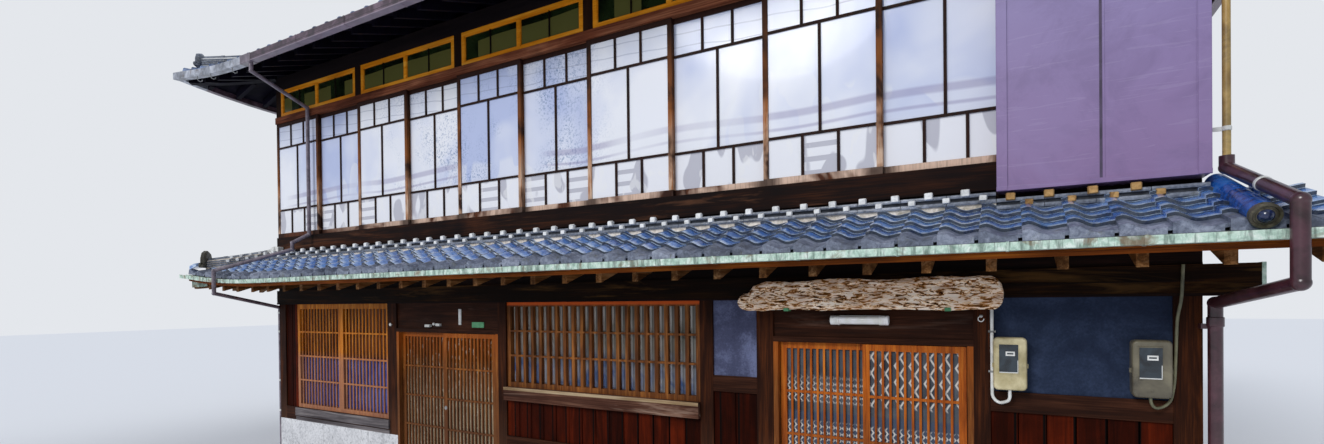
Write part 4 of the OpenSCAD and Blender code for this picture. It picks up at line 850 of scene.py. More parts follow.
def tileRule():
    # Tiles in columns and courses on a plane whose corners rise; those past a hip are left out
    g = Rule("tileField", {"Tile": "Object", "Columns": "Int", "Courses": "Int", "Pitch": "Float",
                           "Exposure": "Float", "FirstCourse": "Float", "Slope": "Float", "Over": "Float",
                           "Lift": "Float", "LiftReach": "Float", "HipStart": "Float", "HipEnd": "Float",
                           "Tilt": "Float", "Jitter": "Float", "Seed": "Int", "Material": "Material"})
    columns, courses, pitch, exposure = (g.given(k) for k in ("Columns", "Courses", "Pitch", "Exposure"))
    width = (columns - 1) * pitch
    rise = (courses - 1) * exposure
    grid = g.node("GeometryNodeMeshGrid", None, {"Size X": width, "Size Y": rise, "Vertices X": columns,
                                                 "Vertices Y": courses})
    x0, y0 = g.split(g.node("GeometryNodeInputPosition"))[:2]
    x = x0 + width / 2
    y = y0 + rise / 2 + g.given("FirstCourse")
    length = columns * pitch
    lift = g.given("Lift")

    def nearness(along, up):
        # How near a point lies to each hip and to the eave, 0 to 1
        return ((1 - along / g.given("LiftReach")).floor0() * g.given("HipStart"),
                (1 - (length - along) / g.given("LiftReach")).floor0() * g.given("HipEnd"),
                (1 - up / g.given("Over")).floor0())

    start, end, fade = nearness(x, y)
    z = g.given("Slope") * y + lift * (start * start + end * end) * fade
    placed = g.node("GeometryNodeSetPosition", None, {"Geometry": grid, "Position": g.join(x, y, z)})
    px, py = g.split(g.node("GeometryNodeInputPosition"))[:2]
    pastStart = g.given("HipStart") * (py - pitch * 1.35 - px)
    pastEnd = g.given("HipEnd") * (py - pitch * 0.35 - (length - px))
    gone = g.maths("GREATER_THAN", g.maths("MAXIMUM", pastStart, pastEnd), 0.0)
    kept = g.node("GeometryNodeDeleteGeometry", {"domain": "POINT"}, {"Geometry": placed, "Selection": gone})
    start, end, fade = nearness(px + pitch * 0.5, py)
    onEave = g.maths("GREATER_THAN", fade, 0.0)
    lean = g.given("Slope") - lift * (start * start + end * end) / g.given("Over") * onEave
    cross = lift * 2 * (start - end) * fade / g.given("LiftReach")
    sx, sy, sz = g.split(g.shake(g.given("Seed")))
    jitter = g.given("Jitter")
    turn = g.join(g.maths("ARCTANGENT", lean) - g.given("Tilt") + sx * jitter,
                  g.maths("ARCTANGENT", cross) + sy * jitter, sz * jitter)
    return g.close(kept, "Tile", turn)


def rowRule():
    # One part repeated from a start along a step, each with a little play
    g = Rule("partRow", {"Part": "Object", "Count": "Int", "Start": "Vector", "Step": "Vector",
                         "Turn": "Vector", "Play": "Vector", "TurnPlay": "Vector", "Seed": "Int",
                         "Material": "Material"})
    line = g.node("GeometryNodeMeshLine", None,
                  {"Count": g.given("Count"), "Start Location": g.given("Start"),
                   "Offset": g.given("Step")})
    nudge = g.vectors("MULTIPLY", g.shake(g.given("Seed")), g.given("Play"))
    moved = g.node("GeometryNodeSetPosition", None, {"Geometry": line, "Offset": nudge})
    twist = g.vectors("MULTIPLY", g.shake(g.given("Seed") + 7), g.given("TurnPlay"))
    return g.close(moved, "Part", g.vectors("ADD", g.given("Turn"), twist))


def pathRule():
    # One part repeated along a path at a spacing, kept upright and turned the path's way
    g = Rule("partsAlongPath", {"Path": "Object", "Part": "Object", "Spacing": "Float",
                                "Material": "Material"})
    curve = g.node("GeometryNodeMeshToCurve", None, {"Mesh": g.part("Path")})
    points = g.node("GeometryNodeResampleCurve", {"mode": "LENGTH"},
                    {"Curve": curve, "Length": g.given("Spacing")})
    tangent = g.node("GeometryNodeInputTangent")
    level = g.node("FunctionNodeAlignRotationToVector", {"axis": "X", "pivot_axis": "Z"}, {"Vector": tangent})
    raised = g.node("FunctionNodeAlignRotationToVector", {"axis": "X", "pivot_axis": "Y"},
                    {"Rotation": level, "Vector": tangent})
    return g.close(points, "Part", raised)


tileField = tileRule()
partRow = rowRule()
partsAlongPath = pathRule()


def rowOf(name, part, count, start, step, material, turn=(0, 0, 0), play=(0, 0, 0), turnPlay=(0, 0, 0),
          seed=1, **more):
    mesh = partRow.grow(name, Part=part, Count=count, Start=tuple(start), Step=tuple(step), Turn=turn,
                        Play=play, TurnPlay=turnPlay, Seed=seed, Material=material)
    return settle(name, mesh, material, **more)


def alongPath(name, points, part, spacing, material, **more):
    edges = [(i, i + 1) for i in range(len(points) - 1)]
    path = bpy.data.objects.new("path", meshOf("path", points, [], edges))
    mesh = partsAlongPath.grow(name, Path=path, Part=part, Spacing=spacing, Material=material)
    return settle(name, mesh, material, **more)


print("rules ready")


# Roofs

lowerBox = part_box("lower_roof_front")
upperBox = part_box("upper_roof_front")
lowerRoof = {
    "slope": 0.36, "over": frontY - lowerBox[0].y, "lift": 0.110, "liftReach": 1.7, "tileSlope": 0.42,
    "frontLength": lowerBox[1].x - lowerBox[0].x, "frontColumns": 50, "sideColumns": 36, "courses": 4,
    "exposure": tileLook["exposure"], "tilt": 0.125, "wave": 0.040, "sheet": 0.021, "face": 0.068,
    "slab": 0.138,
}
upperRoof = {
    "slope": 0.36, "over": frontY - upperBox[0].y, "lift": 0.140, "liftReach": 1.7,
    "frontColumns": 50, "sideColumns": 38, "courses": 24, "exposure": 0.196, "tilt": 0.10, "wave": 0.034,
    "sheet": 0.016, "face": 0.056, "slab": 0.102,
}
lowerRoof["eaveTop"] = lowerBox[1].z - lowerRoof["slope"] * lowerRoof["over"]
upperRoof["run"] = (backY - frontY) / 2 + upperRoof["over"]
upperRoof["eaveTop"] = upperBox[1].z - upperRoof["slope"] * upperRoof["run"]
lowerRoof["sideLength"] = backY - frontY + lowerRoof["over"]
upperRoof["frontLength"] = rightX - leftX + 2 * upperRoof["over"]
upperRoof["sideLength"] = backY - frontY + 2 * upperRoof["over"]


def planeMatrix(corner, quarterTurns):
    return Matrix.Translation(corner) @ Matrix.Rotation(quarterTurns * math.pi / 2, 4, "Z")


lowerCorner = Vector((leftX - lowerRoof["over"], frontY - lowerRoof["over"], lowerRoof["eaveTop"]))
upperCorner = Vector((leftX - upperRoof["over"], frontY - upperRoof["over"], upperRoof["eaveTop"]))
upperFar = Vector((rightX + upperRoof["over"], backY + upperRoof["over"], upperRoof["eaveTop"]))
roofPlanes = {
    "lowerFront": (planeMatrix(lowerCorner, 0), lowerRoof, "front", 1, 0),
    "lowerLeft": (planeMatrix((lowerCorner.x, backY, lowerCorner.z), -1), lowerRoof, "side", 0, 1),
    "upperFront": (planeMatrix(upperCorner, 0), upperRoof, "front", 1, 1),
    "upperBack": (planeMatrix(upperFar, 2), upperRoof, "front", 1, 1),
    "upperLeft": (planeMatrix((upperCorner.x, upperFar.y, upperCorner.z), -1), upperRoof, "side", 1, 1),
    "upperRight": (planeMatrix((upperFar.x, upperCorner.y, upperCorner.z), 1), upperRoof, "side", 1, 1),
}


def wave(u, height):
    # The tile's section: a crest near its left edge, a broad hollow, and a low upturned right edge
    if u < 0.14:
        return height * (0.9 - 0.1 * math.cos(math.pi * u / 0.14))
    if u < 0.6:
        return height * 0.5 * (1 + math.cos(math.pi * (u - 0.14) / 0.46))
    return height * 0.15 * (1 - math.cos(math.pi * min(1.0, (u - 0.6) / 0.42)))


def panTile(name, roof, pitch, segments, face=0.0):
    # One tile with its left front corner at the origin and its crest at level 0
    shape = Shape()
    length = roof["exposure"] * math.hypot(1, roof["slope"]) * 1.28
    across = [1.055 * k / segments for k in range(segments + 1)]
    top = [(u * pitch, wave(u, roof["wave"]) - roof["wave"]) for u in across]
    section = top + [(x, z - roof["sheet"]) for x, z in reversed(top)]
    shape.loft([[(x, y, z) for x, z in section] for y in (0.0, length)])
    if face:
        # The hanging face of an eave tile, plumb once the tile lies at its slope
        lean = math.atan(roof["slope"]) - roof["tilt"]
        down = Vector((0, -math.sin(lean), -math.cos(lean)))
        edge = [(x, z) for x, z in top if x <= pitch * 0.97]
        ring = [Vector((x, 0, z - 0.002)) for x, z in edge]
        ring += [Vector((x, 0, 0)) + down * face for x, z in reversed(edge)]
        thick = Vector((0, 0.018, 0))
        shape.loft([ring, [v + thick for v in ring]])
    tile = shape.hidden(name)
    # Marks the tile's front faces, which the tile paint darkens as painted shade
    lip = tile.data.attributes.new("lip", "FLOAT", "FACE")
    for polygon in tile.data.polygons:
        lip.data[polygon.index].value = float(polygon.normal.y < -0.8)
    return tile


def cutBy(mesh, planes):
    # Cuts away what lies past each plane and closes the cuts
    solid = bmesh.new()
    solid.from_mesh(mesh)
    for point, normal in planes:
        everything = solid.verts[:] + solid.edges[:] + solid.faces[:]
        cut = bmesh.ops.bisect_plane(solid, geom=everything, plane_co=point, plane_no=normal,
                                     clear_outer=True, dist=1e-6)
        rim = [e for e in cut["geom_cut"]
               if isinstance(e, bmesh.types.BMEdge) and e.is_valid and e.is_boundary]
        bmesh.ops.holes_fill(solid, edges=rim, sides=0)
    solid.to_mesh(mesh)
    solid.free()


def hipCuts(length, hipStart, hipEnd, top):
    planes = [((0, top, 0), (0, 1, 0))]
    planes += [((0, 0, 0), (-1, 1, 0))] if hipStart else [((0.002, 0, 0), (-1, 0, 0))]
    planes += [((length, 0, 0), (1, 1, 0))] if hipEnd else [((length - 0.002, 0, 0), (1, 0, 0))]
    return planes


def tilePiece(plane, name, replaced, material, faceMaterial, segments, top, slot, seed):
    matrix, roof, way, hipStart, hipEnd = roofPlanes[plane]
    length, columns = roof[way + "Length"], roof[way + "Columns"]
    pitch = length / columns
    planes = hipCuts(length, hipStart, hipEnd, top)
    fields = (("", roof["courses"], roof["exposure"], 0.0, material, (replaced,)),
              ("EaveRow", 1, 0.0, roof["face"], faceMaterial, ()))
    for index, (ending, courses, first, face, finish, hides) in enumerate(fields):
        mesh = tileField.grow(
            name + ending, Tile=panTile("tile", roof, pitch, segments, face), Columns=columns,
            Courses=courses, Pitch=pitch, Exposure=roof["exposure"], FirstCourse=first,
            Slope=roof.get("tileSlope", roof["slope"]), Over=roof["over"], Lift=roof["lift"],
            LiftReach=roof["liftReach"], HipStart=float(hipStart), HipEnd=float(hipEnd), Tilt=roof["tilt"],
            Jitter=0.012, Seed=seed + index, Material=finish)
        cutBy(mesh, planes)
        mesh.transform(matrix)
        settle(name + ending, mesh, finish, slot, replaces=hides, smooth=True)


def roofSheet(shape, plane, ySpan, high, low, rows=6, steps=26):
    # A sheet parallel to a roof plane between two levels under the tiles' crests
    matrix, roof, way, hipStart, hipEnd = roofPlanes[plane]
    length = roof[way + "Length"]
    ys = [ySpan[0] + (ySpan[1] - ySpan[0]) * k / rows for k in range(rows + 1)]
    if roof["over"] < ySpan[1] - 0.1:
        ys = sorted(set([round(y, 4) for y in ys] + [roof["over"]]))
    grid = []
    for y in ys:
        a = y * hipStart
        b = length - y * hipEnd
        line = []
        for k in range(steps + 1):
            x = a + (b - a) * (0.5 - 0.5 * math.cos(math.pi * k / steps))
            near = (hipStart * max(0, 1 - x / roof["liftReach"]) ** 2
                    + hipEnd * max(0, 1 - (length - x) / roof["liftReach"]) ** 2)
            line.append((x, y, roof["slope"] * y + roof["lift"] * near * max(0, 1 - y / roof["over"])))
        grid.append(line)
    count = steps + 1
    verts = [matrix @ Vector((x, y, z + level)) for level in (high, low) for line in grid for x, y, z in line]
    half = count * len(ys)
    faces = []
    for j in range(len(ys) - 1):
        for i in range(steps):
            a = j * count + i
            faces.append((a, a + 1, a + count + 1, a + count))
            faces.append((half + a, half + a + count, half + a + count + 1, half + a + 1))
    rim = (list(range(count)) + [j * count + steps for j in range(1, len(ys))]
           + [(len(ys) - 1) * count + i for i in range(steps - 1, -1, -1)]
           + [j * count for j in range(len(ys) - 2, 0, -1)])
    for a, b in zip(rim, rim[1:] + rim[:1]):
        faces.append((a, a + half, b + half, b))
    shape.add(verts, faces)


lowerTop = lowerRoof["over"] - 0.155
tilePiece("lowerFront", "lowerTilesFront", "lower_roof_front", blueTile, eaveFace, 14, lowerTop, "blue_tile",
          3)
tilePiece("lowerLeft", "lowerTilesLeft", "lower_roof_left", blueTile, eaveFace, 14, lowerTop, "blue_tile", 5)
for side, seed in (("Front", 11), ("Back", 13), ("Left", 17), ("Right", 19)):
    tilePiece("upper" + side, "upperTiles" + side, "upper_roof_" + side.lower(), greyTile, greyTile, 8,
              upperRoof["run"], "grey_tile", seed)

bed = Shape()
fascia = Shape()
for plane in ("lowerFront", "lowerLeft"):
    roofSheet(bed, plane, (0.03, lowerRoof["over"]), -0.074, -lowerRoof["slab"])
    roofSheet(fascia, plane, (0.004, 0.03), -0.088, -lowerRoof["slab"], rows=1)
bed.piece("lowerTileBed", darkMortar, slot="blue_tile")
fascia.piece("lowerFascia", eaveWood, slot="eave_timber")
deck = Shape()
upperFascia = Shape()
for plane in ("upperFront", "upperBack", "upperLeft", "upperRight"):
    roofSheet(deck, plane, (0.03, upperRoof["run"]), -0.052, -upperRoof["slab"], rows=8)
    roofSheet(upperFascia, plane, (0.004, 0.03), -0.05, -upperRoof["slab"], rows=1)
deck.piece("upperDeck", soffitWood, slot="soffit_timber")
upperFascia.piece("upperFascia", soffitWood, slot="soffit_timber")
print("tiles laid")


# Ridges: plates with joints, a round cap and plaster between the plates
ridgeLook = {"plate": 0.017, "gap": 0.011, "block": 0.30, "joint": 0.004, "capSides": 10, "coreFoot": -0.055}


def ridgeBlock(name, look, length):
    # One length of ridge: stacked plates that narrow upwards and a round cap with a collar
    shape = Shape()
    top = look["height"] - look["cap"] * 1.02
    low = top - look["plates"] * (ridgeLook["plate"] + ridgeLook["gap"])
    half = length / 2 - ridgeLook["joint"]
    for k in range(look["plates"]):
        z = low + k * (ridgeLook["plate"] + ridgeLook["gap"])
        w = look["width"] / 2 * (1 - 0.05 * k)
        shape.box((-half, -w, z), (half, w, z + ridgeLook["plate"]))
    angles = [math.pi * k / ridgeLook["capSides"] for k in range(ridgeLook["capSides"] + 1)]
    for start, end, r in ((-half, half + 0.008, look["cap"]),
                          (half - 0.03, half + 0.012, look["cap"] * 1.07)):
        shape.loft([[(x, -r * math.cos(a), top - 0.004 + r * math.sin(a)) for a in angles]
                    for x in (start, end)])
    return shape.hidden(name)


def ridgeRun(name, path, look, coreMaterial, replaced=()):
    # Blocks along a path, with a plaster core under them
    total = sum((b - a).length for a, b in zip(path, path[1:]))
    block = total / max(1, round(total / ridgeLook["block"]))
    inner = pathBetween(path, block / 2, total - block / 2)
    alongPath(name, inner, ridgeBlock(name + "Block", look, block), block * 0.9999, ridgeTile,
              slot="ridge_tile", replaces=replaced)
    top = look["height"] - look["cap"] * 0.9
    foot, low, high = ridgeLook["coreFoot"], look["width"] * 0.42, look["width"] * 0.4
    core = Shape().swept(path, [(-low, foot), (low, foot), (high, top), (-high, top)])
    core.piece(name + "Core", coreMaterial, slot="ridge_tile")


def pathBetween(path, start, end):
    # The part of a polyline between two distances along it
    out = []
    done = 0.0
    for a, b in zip(path, path[1:]):
        step = (b - a).length
        for limit in (start, end):
            if done <= limit <= done + step:
                out.append((limit, a + (b - a) * ((limit - done) / step)))
        if start < done < end:
            out.append((done, a))
        done += step
    ordered = sorted(out, key=lambda pair: pair[0])
    kept = [ordered[0]]
    for pair in ordered[1:]:
        if pair[0] - kept[-1][0] > 1e-6:
            kept.append(pair)
    return [pair[1] for pair in kept]


def hipLine(roof, corner, sx, sy, start, end, steps=10):
    # Points up a hip from the eave's corner
    out = []
    for k in range(steps + 1):
        s = start + (end - start) * k / steps
        rise = roof["lift"] * max(0, 1 - s / roof["liftReach"]) ** 2 * max(0, 1 - s / roof["over"])
        out.append(Vector((corner[0] + sx * s, corner[1] + sy * s,
                           roof["eaveTop"] + roof["slope"] * s + rise)))
    return out


def upperHip(sx, sy, start, end, steps=10):
    # A hip of the upper roof; sx and sy say which way it climbs
    x = leftX - upperRoof["over"] if sx > 0 else rightX + upperRoof["over"]
    y = frontY - upperRoof["over"] if sy > 0 else backY + upperRoof["over"]
    return hipLine(upperRoof, (x, y), sx, sy, start, end, steps)


def lowerHip(start, end, steps=1):
    return hipLine(lowerRoof, lowerCorner, 1, 1, start, end, steps)


mainRidge = {"width": 0.21, "height": 0.297, "plates": 6, "cap": 0.075}
hipRidge = {"width": 0.17, "height": 0.168, "plates": 3, "cap": 0.058}
lowerRidge = {"width": 0.145, "height": 0.133, "plates": 3, "cap": 0.043}
ridgeEnd = (rightX - leftX) / 2 + upperRoof["over"] - upperRoof["run"] + 0.12
midY = (frontY + backY) / 2
hipFoot, hipEndFoot = 0.16, 0.13
ridgeFoot = upperBox[1].z
hipWays = ((1, 1), (-1, 1), (1, -1), (-1, -1))
ridgeRun("mainRidge", [Vector((x, midY, ridgeFoot)) for x in (-ridgeEnd, ridgeEnd)], mainRidge, whitePlaster,
         ("upper_ridges",))
for index, (sx, sy) in enumerate(hipWays):
    ridgeRun("hipRidge%d" % (index + 1), upperHip(sx, sy, hipFoot, upperRoof["run"] - 0.05), hipRidge,
             whitePlaster)
lowerHipPath = lowerHip(hipFoot, lowerRoof["over"] - 0.09, 8)
ridgeRun("lowerHipRidge", lowerHipPath, lowerRidge, creamMortar, ("lower_ridges",))


def endTile(name, point, facing, width, height, material, thick=0.06):
    # The tile that closes a ridge: an arched plate with a raised rim, a boss and two curled feet
    shape = Shape()
    facing = Vector(facing).normalized()
    side = Vector((-facing.y, facing.x, 0))
    arch = [(-0.62, 0.0), (-0.60, 0.16), (-0.46, 0.22), (-0.43, 0.6), (-0.3, 0.86), (0, 1.0), (0.3, 0.86),
            (0.43, 0.6), (0.46, 0.22), (0.60, 0.16), (0.62, 0.0)]

    def ring(scale, out):
        return [Vector(point) + side * (a * width * scale) + Vector((0, 0, b * height * scale)) + facing * out
                for a, b in arch]
    shape.loft([ring(0.94, -thick), ring(1.0, -thick * 0.7), ring(1.0, 0.0), ring(0.9, 0.008),
                ring(0.84, 0.0), ring(0.8, -0.01)])
    centre = Vector(point) + Vector((0, 0, height * 0.5))
    shape.turned([(-0.012, width * 0.2), (0.006, width * 0.2), (0.016, width * 0.14), (0.019, 0.002)], centre,
                 facing, 16)
    for hand in (-1, 1):
        foot = Vector(point) + side * (hand * width * 0.5) + Vector((0, 0, height * 0.13))
        shape.turned([(-0.02, width * 0.13), (0.008, width * 0.13), (0.014, width * 0.08)], foot, facing, 12)
    shape.piece(name, material, slot="ridge_tile", bevel=0.003)


endTile("lowerHipEnd", lowerHip(hipEndFoot, hipFoot)[0], (-1, -1, 0), 0.25, 0.24, discTile)
for index, (sx, sy) in enumerate(hipWays):
    endTile("hipEnd%d" % (index + 1), upperHip(sx, sy, hipEndFoot, hipFoot, 1)[0], (-sx, -sy, 0), 0.22, 0.21,
            ridgeTile)
for name, hand in (("ridgeEndLeft", -1), ("ridgeEndRight", 1)):
    endTile(name, (hand * ridgeEnd, midY, ridgeFoot - 0.02), (hand, 0, 0), 0.27, 0.315, ridgeTile, 0.08)


# The stack of tiles against the upper wall: mortar, two thin plates and two rows of plaster lumps
wallStack = {
    "mortarFoot": (2.700, 2.705), "mortarTop": 2.790, "mortarOut": 0.176, "coreOut": 0.165, "boxDrop": 0.047,
    "plateA": (2.782, 2.802, 0.192), "plateB": (2.832, 2.850, 0.184), "plateLength": 0.30,
    "blobLow": (0.050, 0.040, 2.794), "blobHigh": (0.057, 0.052, 2.831), "blobDepth": 0.045,
}
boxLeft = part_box("shutter_box")[0].x
tilePitch = lowerRoof["frontLength"] / lowerRoof["frontColumns"]


def lumpPart(name, w, h, depth):
    # A dab of plaster: a block with pinched corners
    outline = ((-0.5, -0.42), (-0.42, -0.5), (0.42, -0.5), (0.5, -0.42), (0.5, 0.38), (0.38, 0.5),
               (-0.38, 0.5), (-0.5, 0.4))
    return Shape().loft([[(a * w * s, y, b * h * s + h * 0.5) for a, b in outline]
                         for y, s in ((0.0, 0.82), (-depth * 0.6, 1.0), (-depth, 0.8))]).hidden(name)


def stackAgainstWall(name, start, way, length, drop, plaster, mortar):
    # way is the unit vector along the wall; the stack stands out to its right
    look = wallStack
    out = Vector((way.y, -way.x, 0))

    def at(along, reach, z):
        return start + way * along + out * reach + Vector((0, 0, z))

    def layer(ending, material, ring, first, last):
        shape = Shape().loft([[at(s, reach, z) for reach, z in ring] for s in (first, last)])
        shape.piece(name + ending, material, slot="ridge_tile")

    top, edge = look["mortarTop"] - drop, look["mortarOut"]
    layer("Mortar", mortar, [(0, look["mortarFoot"][0]), (edge, look["mortarFoot"][1]), (edge, top),
                             (0, top)], 0, length)
    low, high, edge = top - 0.01, look["plateB"][0] + 0.002 - drop, look["coreOut"]
    layer("Core", darkMortar, [(0, low), (edge, low), (edge, high), (0, high)], 0.004, length - 0.004)
    plates = Shape()
    count = max(1, round(length / look["plateLength"]))
    for low, high, edge in (look["plateA"], look["plateB"]):
        for k in range(count):
            wobble = 0.0025 * math.sin(7.3 * k + low * 50)
            ring = [(0, low), (edge + wobble, low - 0.006), (edge + wobble + 0.003, low + 0.004),
                    (edge + wobble + 0.001, high - 0.003), (edge + wobble - 0.005, high), (0, high)]
            plates.loft([[at(s, reach, z - drop) for reach, z in ring]
                         for s in (length * k / count + 0.002, length * (k + 1) / count - 0.002)])
    plates.piece(name + "Plates", ridgeTile, slot="ridge_tile")
    reachLow, reachHigh = look["plateA"][2] - 0.032, look["plateB"][2] - 0.022
    for row, (w, h, z), shift, reach, seed in (("Low", look["blobLow"], 0.85, reachLow, 5),
                                               ("High", look["blobHigh"], 0.35, reachHigh, 9)):
        rowOf(name + "Lumps" + row, lumpPart("lump", w, h, look["blobDepth"]), int(length / tilePitch),
              at(tilePitch * shift, reach, z - drop), way * tilePitch, plaster, slot="ridge_tile", seed=seed,
              turn=(0, 0, math.atan2(way.y, way.x)), play=(0.012, 0.004, 0.002), turnPlay=(0.05, 0.1, 0.12))


along = Vector((1, 0, 0))
stackAgainstWall("frontStack", Vector((leftX - 0.06, frontY, 0)), along, boxLeft - leftX + 0.054, 0.0,
                 whitePlaster, creamMortar)
stackAgainstWall("boxStack", Vector((boxLeft - 0.006, frontY, 0)), along, rightX - boxLeft + 0.006,
                 wallStack["boxDrop"], tanPlaster, tanPlaster)
stackAgainstWall("sideStack", Vector((leftX, backY, 0)), Vector((0, -1, 0)), backY - frontY + 0.06, 0.0,
                 whitePlaster, creamMortar)

# Two rows of lumps along the upper part of the hip ridge
hipLumps = Shape()
lumpOutline = ((-0.5, 0.05), (-0.4, 0), (0.4, 0), (0.5, 0.05), (0.5, 0.9), (0.4, 1), (-0.4, 1), (-0.5, 0.9))
for shift, side, foot, w, h in ((0.0, lowerRidge["width"] * 0.5, 0.04, 0.042, 0.034),
                                (0.05, lowerRidge["width"] * 0.42, 0.088, 0.042, 0.036)):
    for hand in (-1, 1):
        hipLumps.loft([[(shift + a * w * q, hand * (side - 0.012 + d), foot + b * h * q)
                        for a, b in lumpOutline]
                       for d, q in ((0.0, 0.9), (0.018, 1.0), (0.03, 0.8))])
alongPath("hipRidgeLumps", lowerHipPath[3:], hipLumps.hidden("hipLump"), 0.105, whitePlaster,
          slot="ridge_tile")

# White lump where the hip meets the wall, and the block beside it
lump = Shape()
lump.turned([(-0.05, 0.03), (-0.03, 0.055), (0.02, 0.06), (0.05, 0.04), (0.06, 0.01)],
            house(leftX + 0.02, -0.06, 2.90), (0, 0, 1), 12)
lump.box(house(leftX + 0.1, -0.1, 2.85), house(leftX + 0.17, -0.02, 2.95))
lump.piece("hipHeadPlaster", whitePlaster, slot="ridge_tile", bevel=0.008)


# Round verge tiles at the right, with a disc and boss at the eave
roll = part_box("roll_tile")
rollRadius = (roll[1].x - roll[0].x) / 2
rollX = (roll[0].x + roll[1].x) / 2
rollDown = Vector((0, -1, -lowerRoof["slope"])).normalized()
rollHead = Vector((rollX, frontY, lowerBox[1].z + 0.004))
rollLength = (lowerRoof["over"] + 0.025) * math.hypot(1, lowerRoof["slope"])
verge = Shape()
r = rollRadius * 0.94
for a, b in ((0, rollLength / 2 + 0.01), (rollLength / 2, rollLength - 0.01)):
    verge.turned([(a, r * 0.95), (b - 0.004, r), (b, r * 0.98)], rollHead, rollDown, 40)
verge.piece("vergeRolls", rollGlaze, slot="glazed_roll", replaces=("roll_tile",), smooth=True)
disc = Shape()
tip = rollHead + rollDown * (rollLength - 0.012)
r = rollRadius
disc.turned([(-0.02, r * 0.98), (0.014, r), (0.02, r * 0.97), (0.02, r * 0.8), (0.012, r * 0.74),
             (0.012, r * 0.62), (0.018, r * 0.6)], tip, rollDown, 28)
disc.piece("vergeDisc", discTile, slot="glazed_roll", smooth=True)
boss = Shape()
boss.turned([(0.0, r * 0.56), (0.012, r * 0.56), (0.026, r * 0.48), (0.036, r * 0.3), (0.041, r * 0.1),
             (0.042, 0.001)], tip, rollDown, 24)
boss.piece("vergeBoss", bossGlaze, slot="glazed_roll", smooth=True)

# Upturned tile at the eave's left corner, and the copper cap on the hip rafter under it
cornerTop = lowerHip(0.0, 0.1)[0]
cornerTile = Shape()
for inner, z0, z1 in ((0.20, -0.03, 0.0), (0.16, 0.0, 0.022)):
    rings = []
    for level, grow in ((z0, 0.0), (z1, 0.006)):
        outline = ((0.02 - grow, 0.02 - grow), (1, 0), (1.1, 0.5), (0.8, 0.8), (0.5, 1.1), (0, 1))
        rings.append([cornerTop + inner * Vector((a, b, lowerRoof["slope"] * 0.5 * (a + b)))
                      + Vector((0, 0, level + 0.02)) for a, b in outline])
    cornerTile.loft(rings)
cornerTile.piece("cornerTile", blueTile, slot="blue_tile", bevel=0.004)
cap = Shape()
cap.swept([p - Vector((0, 0, 0.262)) for p in lowerHip(0.04, 0.17)],
          [(-0.055, 0.0), (0.055, 0.0), (0.055, 0.112), (-0.055, 0.112)])
cap.piece("hipRafterCap", copperGreen, slot="verdigris", bevel=0.004)
print("ridges laid")


# Gutters and pipes

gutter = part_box("lower_gutter")
gutterLook = {"width": 0.08, "height": 0.048, "strap": 0.016, "proud": 0.003, "spacing": 0.62}


def strapPart(name, width, height, long, proud):
    # A narrow band that wraps the front, foot and back of a box gutter
    shape = Shape()
    ring = [(-proud, height + proud), (-proud, -proud), (width + proud, -proud),
            (width + proud, height + proud), (width, height + proud), (width, 0.0), (0.0, 0.0),
            (0.0, height + proud)]
    shape.loft([[(s, y, z) for y, z in ring] for s in (-long / 2, long / 2)])
    return shape.hidden(name)


flatStart = lowerCorner.x + lowerRoof["liftReach"]
lowerStrap = strapPart("strap", *(gutterLook[k] for k in ("width", "height", "strap", "proud")))
gutterFoot = lowerRoof["eaveTop"] - lowerRoof["slab"] + 0.0135
rowOf("gutterStraps", lowerStrap, int((rightX + 0.36 - flatStart) / gutterLook["spacing"]),
      (flatStart + 0.1, gutter[0].y, gutterFoot), (gutterLook["spacing"], 0, 0), copperGreen,
      play=(0.05, 0, 0), seed=4, slot="verdigris")
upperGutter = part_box("upper_gutter")


def upperEaveLift(x):
    s = x - (leftX - upperRoof["over"])
    return upperRoof["lift"] * max(0, 1 - s / upperRoof["liftReach"]) ** 2


upperGutterFoot = upperRoof["eaveTop"] - 0.1723
hooks = Shape()
for x in (-5.3, -4.95, -4.41):
    base = Vector((x, upperGutter[0].y + 0.015, upperGutterFoot + upperEaveLift(x) + 0.002))
    hooks.tube([base + Vector((0, a, b)) for a, b in ((0, 0.0), (0, -0.028), (0.012, -0.05), (0.035, -0.058),
                                                      (0.055, -0.048), (0.06, -0.028))], 0.0065, 8)
hooks.piece("gutterHooks", steelGrey, slot="brown_gutter", smooth=True)
jointBox = Shape()
jointBox.box((-4.19, upperGutter[0].y - 0.006, upperGutterFoot - 0.006),
             (-3.96, upperGutter[0].y + 0.09, upperGutterFoot + 0.1))
jointBox.piece("gutterJoint", pipeLilac, slot="brown_gutter", bevel=0.006)
upperStrap = strapPart("upperStrap", 0.085, 0.092, 0.02, 0.003)
rowOf("upperGutterStraps", upperStrap, 9, (-3.0, upperGutter[0].y, upperGutterFoot), (0.91, 0, 0),
      upperGutterPaint, play=(0.02, 0, 0), seed=6, slot="brown_gutter")


def band(shape, centre, axis, radius, width):
    shape.turned([(-width / 2, radius), (-width / 2 + 0.004, radius + 0.004),
                  (width / 2 - 0.004, radius + 0.004), (width / 2, radius)], centre, axis, 20)


